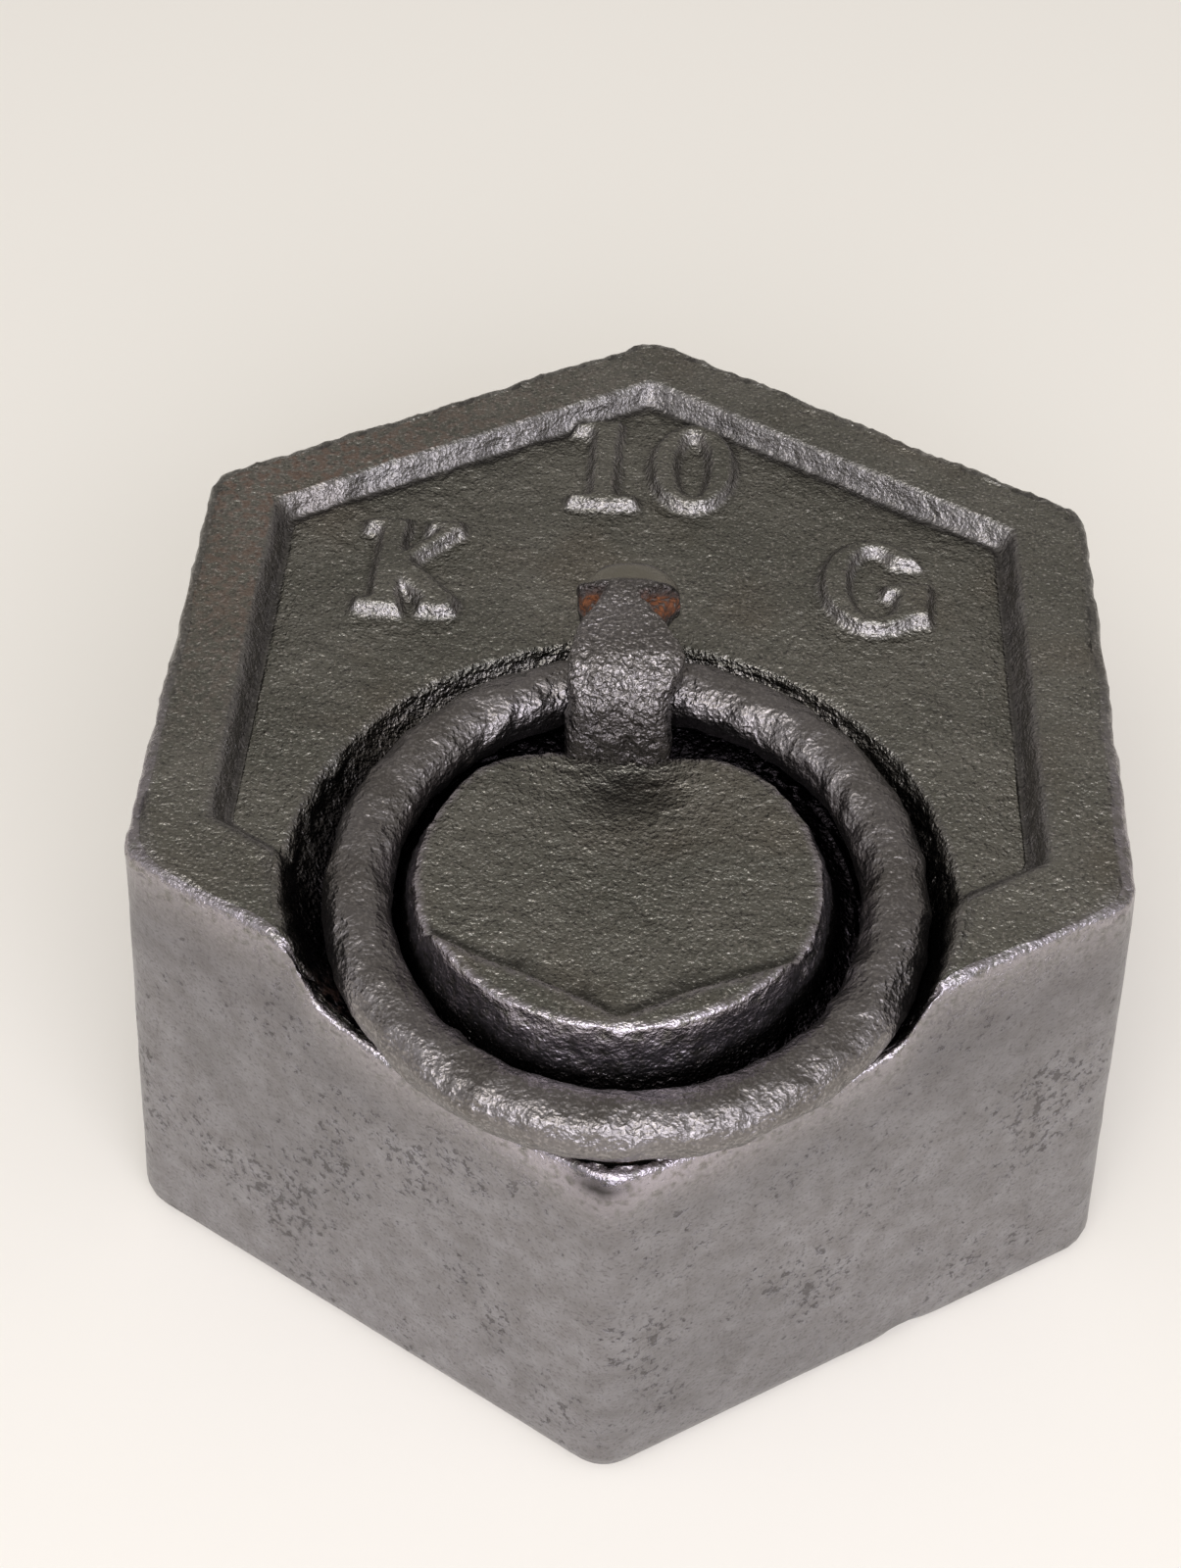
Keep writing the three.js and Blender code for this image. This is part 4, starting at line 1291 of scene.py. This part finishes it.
# %% [markdown]
# Rubbed peaks shine more than hollows. The bumps are three sizes of sand grain, much weaker on the
# sides, and the pits go inwards. The boss's wall, which no hand reaches, stayed duller.

# %% Cast iron: polish and bumps
polish = add(tree, RANGE, {0: grit, 1: 0.3, 2: 0.7, 3: 0.38, 4: 0.24})
side_polish = add(tree, RANGE, {0: grain, 1: 0.3, 2: 0.7, 3: 0.36, 4: 0.44})
polish = add(tree, MIX, {0: side, 2: polish, 3: side_polish})
rubbing = add(tree, MATH, {0: wear_and_highlight, 1: 0.1}, operation="MULTIPLY")
polish = add(tree, MATH, {0: polish, 1: rubbing}, operation="SUBTRACT")
polish = add(tree, MIX, {0: sheltered, 2: polish, 3: 0.46})
share = add(tree, RANGE, {0: side, 3: 1.0, 4: 0.30})
smoother = add(tree, RANGE, {0: wear_and_highlight, 3: 1.0, 4: 0.6})
share = add(tree, MATH, {0: share, 1: smoother}, operation="MULTIPLY")
height = add(tree, MATH, {0: lumps, 1: share}, operation="MULTIPLY")
skin = add(tree, BUMP, {"Height": height, "Distance": 0.42 * MM})
height = add(tree, MATH, {0: grain, 1: share}, operation="MULTIPLY")
skin = add(tree, BUMP, {"Height": height, "Distance": 0.30 * MM, "Normal": skin})
height = add(tree, MATH, {0: grit, 1: share}, operation="MULTIPLY")
skin = add(tree, BUMP, {"Height": height, "Distance": 0.33 * MM, "Normal": skin})
skin = add(tree, BUMP, {"Height": pit, "Distance": -0.15 * MM, "Normal": skin})
shader = {"Base Color": colour, "Metallic": metal, "Roughness": polish, "Normal": skin}
shader = add(tree, "ShaderNodeBsdfPrincipled", shader)
add(tree, "ShaderNodeOutputMaterial", {"Surface": shader})
print(iron.name, "has", len(tree.nodes), "nodes")

# %% [markdown]
# Ring and staple are wrought iron, forged by hand, under the same blacking. It is a satin metal with
# broad bright bands. The hammer left small crooked facets of a millimetre: cells whose borders are
# bent by a noise. Pale flecks are painted glints. Where the mark says smooth, grain and flecks fade
# out, and the colour is painted lighter, a painted sheen.

# %% Forged iron: colour
forged, tree, place = blank_material("blacked_forged_iron")
rusty = add(tree, MARK, out="Fac", attribute_name="rusty")
rough = add(tree, MARK, out="Fac", attribute_name="rough")
painted_shade = add(tree, MARK, out="Fac", attribute_name="painted_shade")
grit = add(tree, NOISE, {"Vector": place, "Scale": 2.0, "Detail": 1.5, "Roughness": 0.5})
grain = add(tree, NOISE, {"Vector": place, "Scale": 0.7, "Detail": 1.5})
crooked = add(tree, NOISE, {"Vector": place, "Scale": 0.9, "Detail": 1}, out="Color")
bent_by = (1.6, 1.6, 1.6)
crooked = add(tree, "ShaderNodeVectorMath", {0: crooked, 1: bent_by, 2: place}, operation="MULTIPLY_ADD")
facet = add(tree, "ShaderNodeTexVoronoi", {"Vector": crooked, "Scale": 0.9})
lumps = add(tree, NOISE, {"Vector": place, "Scale": 0.3, "Detail": 1})
cloud = add(tree, NOISE, {"Vector": place, "Scale": 0.08, "Detail": 3})
cloud = add(tree, RANGE, {0: cloud, 1: 0.36, 2: 0.66})
colour = add(tree, MIX, {0: cloud, 6: linear("#6f6b68"), 7: linear("#837f7f")}, 2, data_type="RGBA")
deep = add(tree, RANGE, {0: rough, 3: 0.15, 4: 0.6})
# Pale flecks are painted glints.
glint_fleck = add(tree, RANGE, {0: grit, 1: 0.50, 2: 0.64, 4: 1.2})
glint_fleck = add(tree, MATH, {0: glint_fleck, 1: deep}, operation="MULTIPLY")
colour = add(tree, MIX, {0: glint_fleck, 6: colour, 7: linear("#b3aeac")}, 2, data_type="RGBA")
smooth_and_sheen = add(tree, RANGE, {0: rough, 1: 0.3, 2: 0.0})
# The smooth shoulder is painted lighter: a painted sheen.
colour = add(tree, MIX, {0: smooth_and_sheen, 6: colour, 7: linear("#8c887d")}, 2, data_type="RGBA")
print(forged.name, "has", len(tree.nodes), "nodes so far")

# %% [markdown]
# The hollows of the staple hold orange rust in flakes, dull and not metallic. Painted shade darkens
# the back walls of the hollows and the strap below its top.

# %% Forged iron: rust, polish and bumps
flakes = add(tree, NOISE, {"Vector": place, "Scale": 1.1, "Detail": 4})
tone = add(tree, RANGE, {0: flakes, 1: 0.40, 2: 0.75})
rust = add(tree, MIX, {0: tone, 6: linear("#4a2c19"), 7: linear("#96582f")}, 2, data_type="RGBA")
edge = add(tree, RANGE, {0: flakes, 1: 0.25, 2: 0.45})
rusty = add(tree, MATH, {0: rusty, 1: edge}, operation="MULTIPLY")
colour = add(tree, MIX, {0: rusty, 6: colour, 7: rust}, 2, data_type="RGBA")
# Painted shade darkens the hollows' back walls and the lower strap.
colour = add(tree, MIX, {0: painted_shade, 6: colour, 7: linear("#2b2724")}, 2, data_type="RGBA")
metal = add(tree, MATH, {0: 1.0, 1: rusty}, operation="SUBTRACT")
polish = add(tree, RANGE, {0: grit, 1: 0.3, 2: 0.7, 3: 0.38, 4: 0.27})
polish = add(tree, MIX, {0: smooth_and_sheen, 2: polish, 3: 0.42})
polish = add(tree, MIX, {0: rusty, 2: polish, 3: 0.85})
height = add(tree, MATH, {0: grain, 1: deep}, operation="MULTIPLY")
skin = add(tree, BUMP, {"Height": lumps, "Distance": 0.55 * MM})
skin = add(tree, BUMP, {"Height": height, "Distance": 0.6 * MM, "Normal": skin})
height = add(tree, MATH, {0: facet, 1: deep}, operation="MULTIPLY")
skin = add(tree, BUMP, {"Height": height, "Distance": 0.55 * MM, "Normal": skin})
height = add(tree, MATH, {0: grit, 1: deep}, operation="MULTIPLY")
skin = add(tree, BUMP, {"Height": height, "Distance": 0.5 * MM, "Normal": skin})
shader = {"Base Color": colour, "Metallic": metal, "Roughness": polish, "Normal": skin}
shader = add(tree, "ShaderNodeBsdfPrincipled", shader)
add(tree, "ShaderNodeOutputMaterial", {"Surface": shader})
print(forged.name, "has", len(tree.nodes), "nodes")

# %% [markdown]
# Old lead is a dull blue-grey metal with a whitish bloom.

# %% Lead
dull_lead, tree, place = blank_material("dull_lead")
bloom = add(tree, NOISE, {"Vector": place, "Scale": 0.17, "Detail": 4})
bloom = add(tree, RANGE, {0: bloom, 1: 0.35, 2: 0.65})
colour = add(tree, MIX, {0: bloom, 6: linear("#6c6f72"), 7: linear("#8e9092")}, 2, data_type="RGBA")
polish = add(tree, RANGE, {0: bloom, 3: 0.55, 4: 0.75})
ripples = add(tree, NOISE, {"Vector": place, "Scale": 0.7, "Detail": 3})
skin = add(tree, BUMP, {"Height": ripples, "Distance": 0.3 * MM})
shader = {"Base Color": colour, "Metallic": 1.0, "Roughness": polish, "Normal": skin}
shader = add(tree, "ShaderNodeBsdfPrincipled", shader)
add(tree, "ShaderNodeOutputMaterial", {"Surface": shader})
print(dull_lead.name, "has", len(tree.nodes), "nodes")

# %% [markdown]
# Each new piece now takes its finish, hides the imported node it stands for, and moves with its
# body. Body and slot names are those of the imported record.

# %% Finish and ride
DRESSED = [
    (block, iron, "cast_block", "block", "cast_iron"),
    (ring, forged, "lifting_ring", "ring", "forged_iron"),
    (staple, forged, "ring_staple", "block", "forged_iron"),
    (lead, dull_lead, "lead_fill", "block", "lead"),
]
for piece, material, node_name, body, slot in DRESSED:
    piece.data.materials.append(material)
    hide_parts(node_name)
    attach(piece, body)
    print(piece.name, "stands for", node_name, "on", body)

# %% [markdown]
# The studio is a wide white table. Its top lies a tenth of a millimetre low, so that it never
# shares a plane with the base.

# %% Floor
FLOOR_HALF = 9.0
FLOOR_Z = -0.0001
floor_mesh = bpy.data.meshes.new("table_top")
corners = [(-1, -1), (1, -1), (1, 1), (-1, 1)]
corners = [(FLOOR_HALF * x, FLOOR_HALF * y, FLOOR_Z) for x, y in corners]
floor_mesh.from_pydata(corners, [], [(0, 1, 2, 3)])
floor = bpy.data.objects.new("table_top", floor_mesh)
bpy.context.scene.collection.objects.link(floor)
paper, tree, place = blank_material("pale_table")
shader = {"Base Color": linear("#f4f1e7"), "Roughness": 0.9, "Specular IOR Level": 0.1}
shader = add(tree, "ShaderNodeBsdfPrincipled", shader)
add(tree, "ShaderNodeOutputMaterial", {"Surface": shader})
floor_mesh.materials.append(paper)
print("table", 2 * FLOOR_HALF, "m wide")

# %% [markdown]
# The room is pale at the horizon, where the table ends, darker just above it, and light overhead,
# less so behind the weight than in front. Metal shows what it reflects, so this decides how dark
# the top and how bright the sides look.

# %% Room light
world = bpy.data.worlds.new("pale_room")
bpy.context.scene.world = world
world.use_nodes = True
tree = world.node_tree
tree.nodes.clear()
direction = add(tree, "ShaderNodeTexCoord", out="Generated")
up = add(tree, "ShaderNodeSeparateXYZ", {0: direction}, "Z")
back = add(tree, "ShaderNodeSeparateXYZ", {0: direction}, "Y")
behind = add(tree, RANGE, {0: back, 1: -0.15, 2: 0.28}, interpolation_type="SMOOTHSTEP")
overhead = add(tree, MIX, {0: behind, 6: linear("#eceaec"), 7: linear("#a8a49f")}, 2, data_type="RGBA")
rising = add(tree, RANGE, {0: up, 1: 0.06, 2: 0.35}, interpolation_type="SMOOTHSTEP")
room = add(tree, MIX, {0: rising, 6: linear("#8f888f"), 7: overhead}, 2, data_type="RGBA")
far_table = add(tree, RANGE, {0: up, 1: 0.10, 2: 0.04}, interpolation_type="SMOOTHSTEP")
room = add(tree, MIX, {0: far_table, 6: room, 7: linear("#cecac3")}, 2, data_type="RGBA")
background = add(tree, "ShaderNodeBackground", {"Color": room, "Strength": 1.0})
add(tree, "ShaderNodeOutputWorld", {"Surface": background})
print("room light of", len(tree.nodes), "nodes")

# %% [markdown]
# One wide soft lamp in front, a little cool, draws the bright bands on walls, lips and ring. A
# smaller one above it lights the top.


# %% Lamps
def soft_lamp(name, place, size, power, colour):
    """A rectangular soft lamp at a place in metres, aimed at the weight."""
    lamp_data = bpy.data.lights.new(name, "AREA")
    lamp_data.shape = "RECTANGLE"
    lamp_data.size, lamp_data.size_y = size
    lamp_data.energy = power
    lamp_data.color = linear(colour)[:3]
    lamp = bpy.data.objects.new(name, lamp_data)
    lamp.location = place
    aim = Matrix.Translation(place).translation * -1
    lamp.rotation_euler = aim.to_track_quat("-Z", "Y").to_euler()
    lamp.visible_camera = False
    bpy.context.scene.collection.objects.link(lamp)
    print(name, power, "W")


soft_lamp("front_window", (0.15, -0.98, 0.72), (1.5, 0.7), 10.5, "#f4f2ff")
soft_lamp("high_front", (-0.3, -0.9, 1.5), (0.9, 0.6), 5, "#fffaf2")
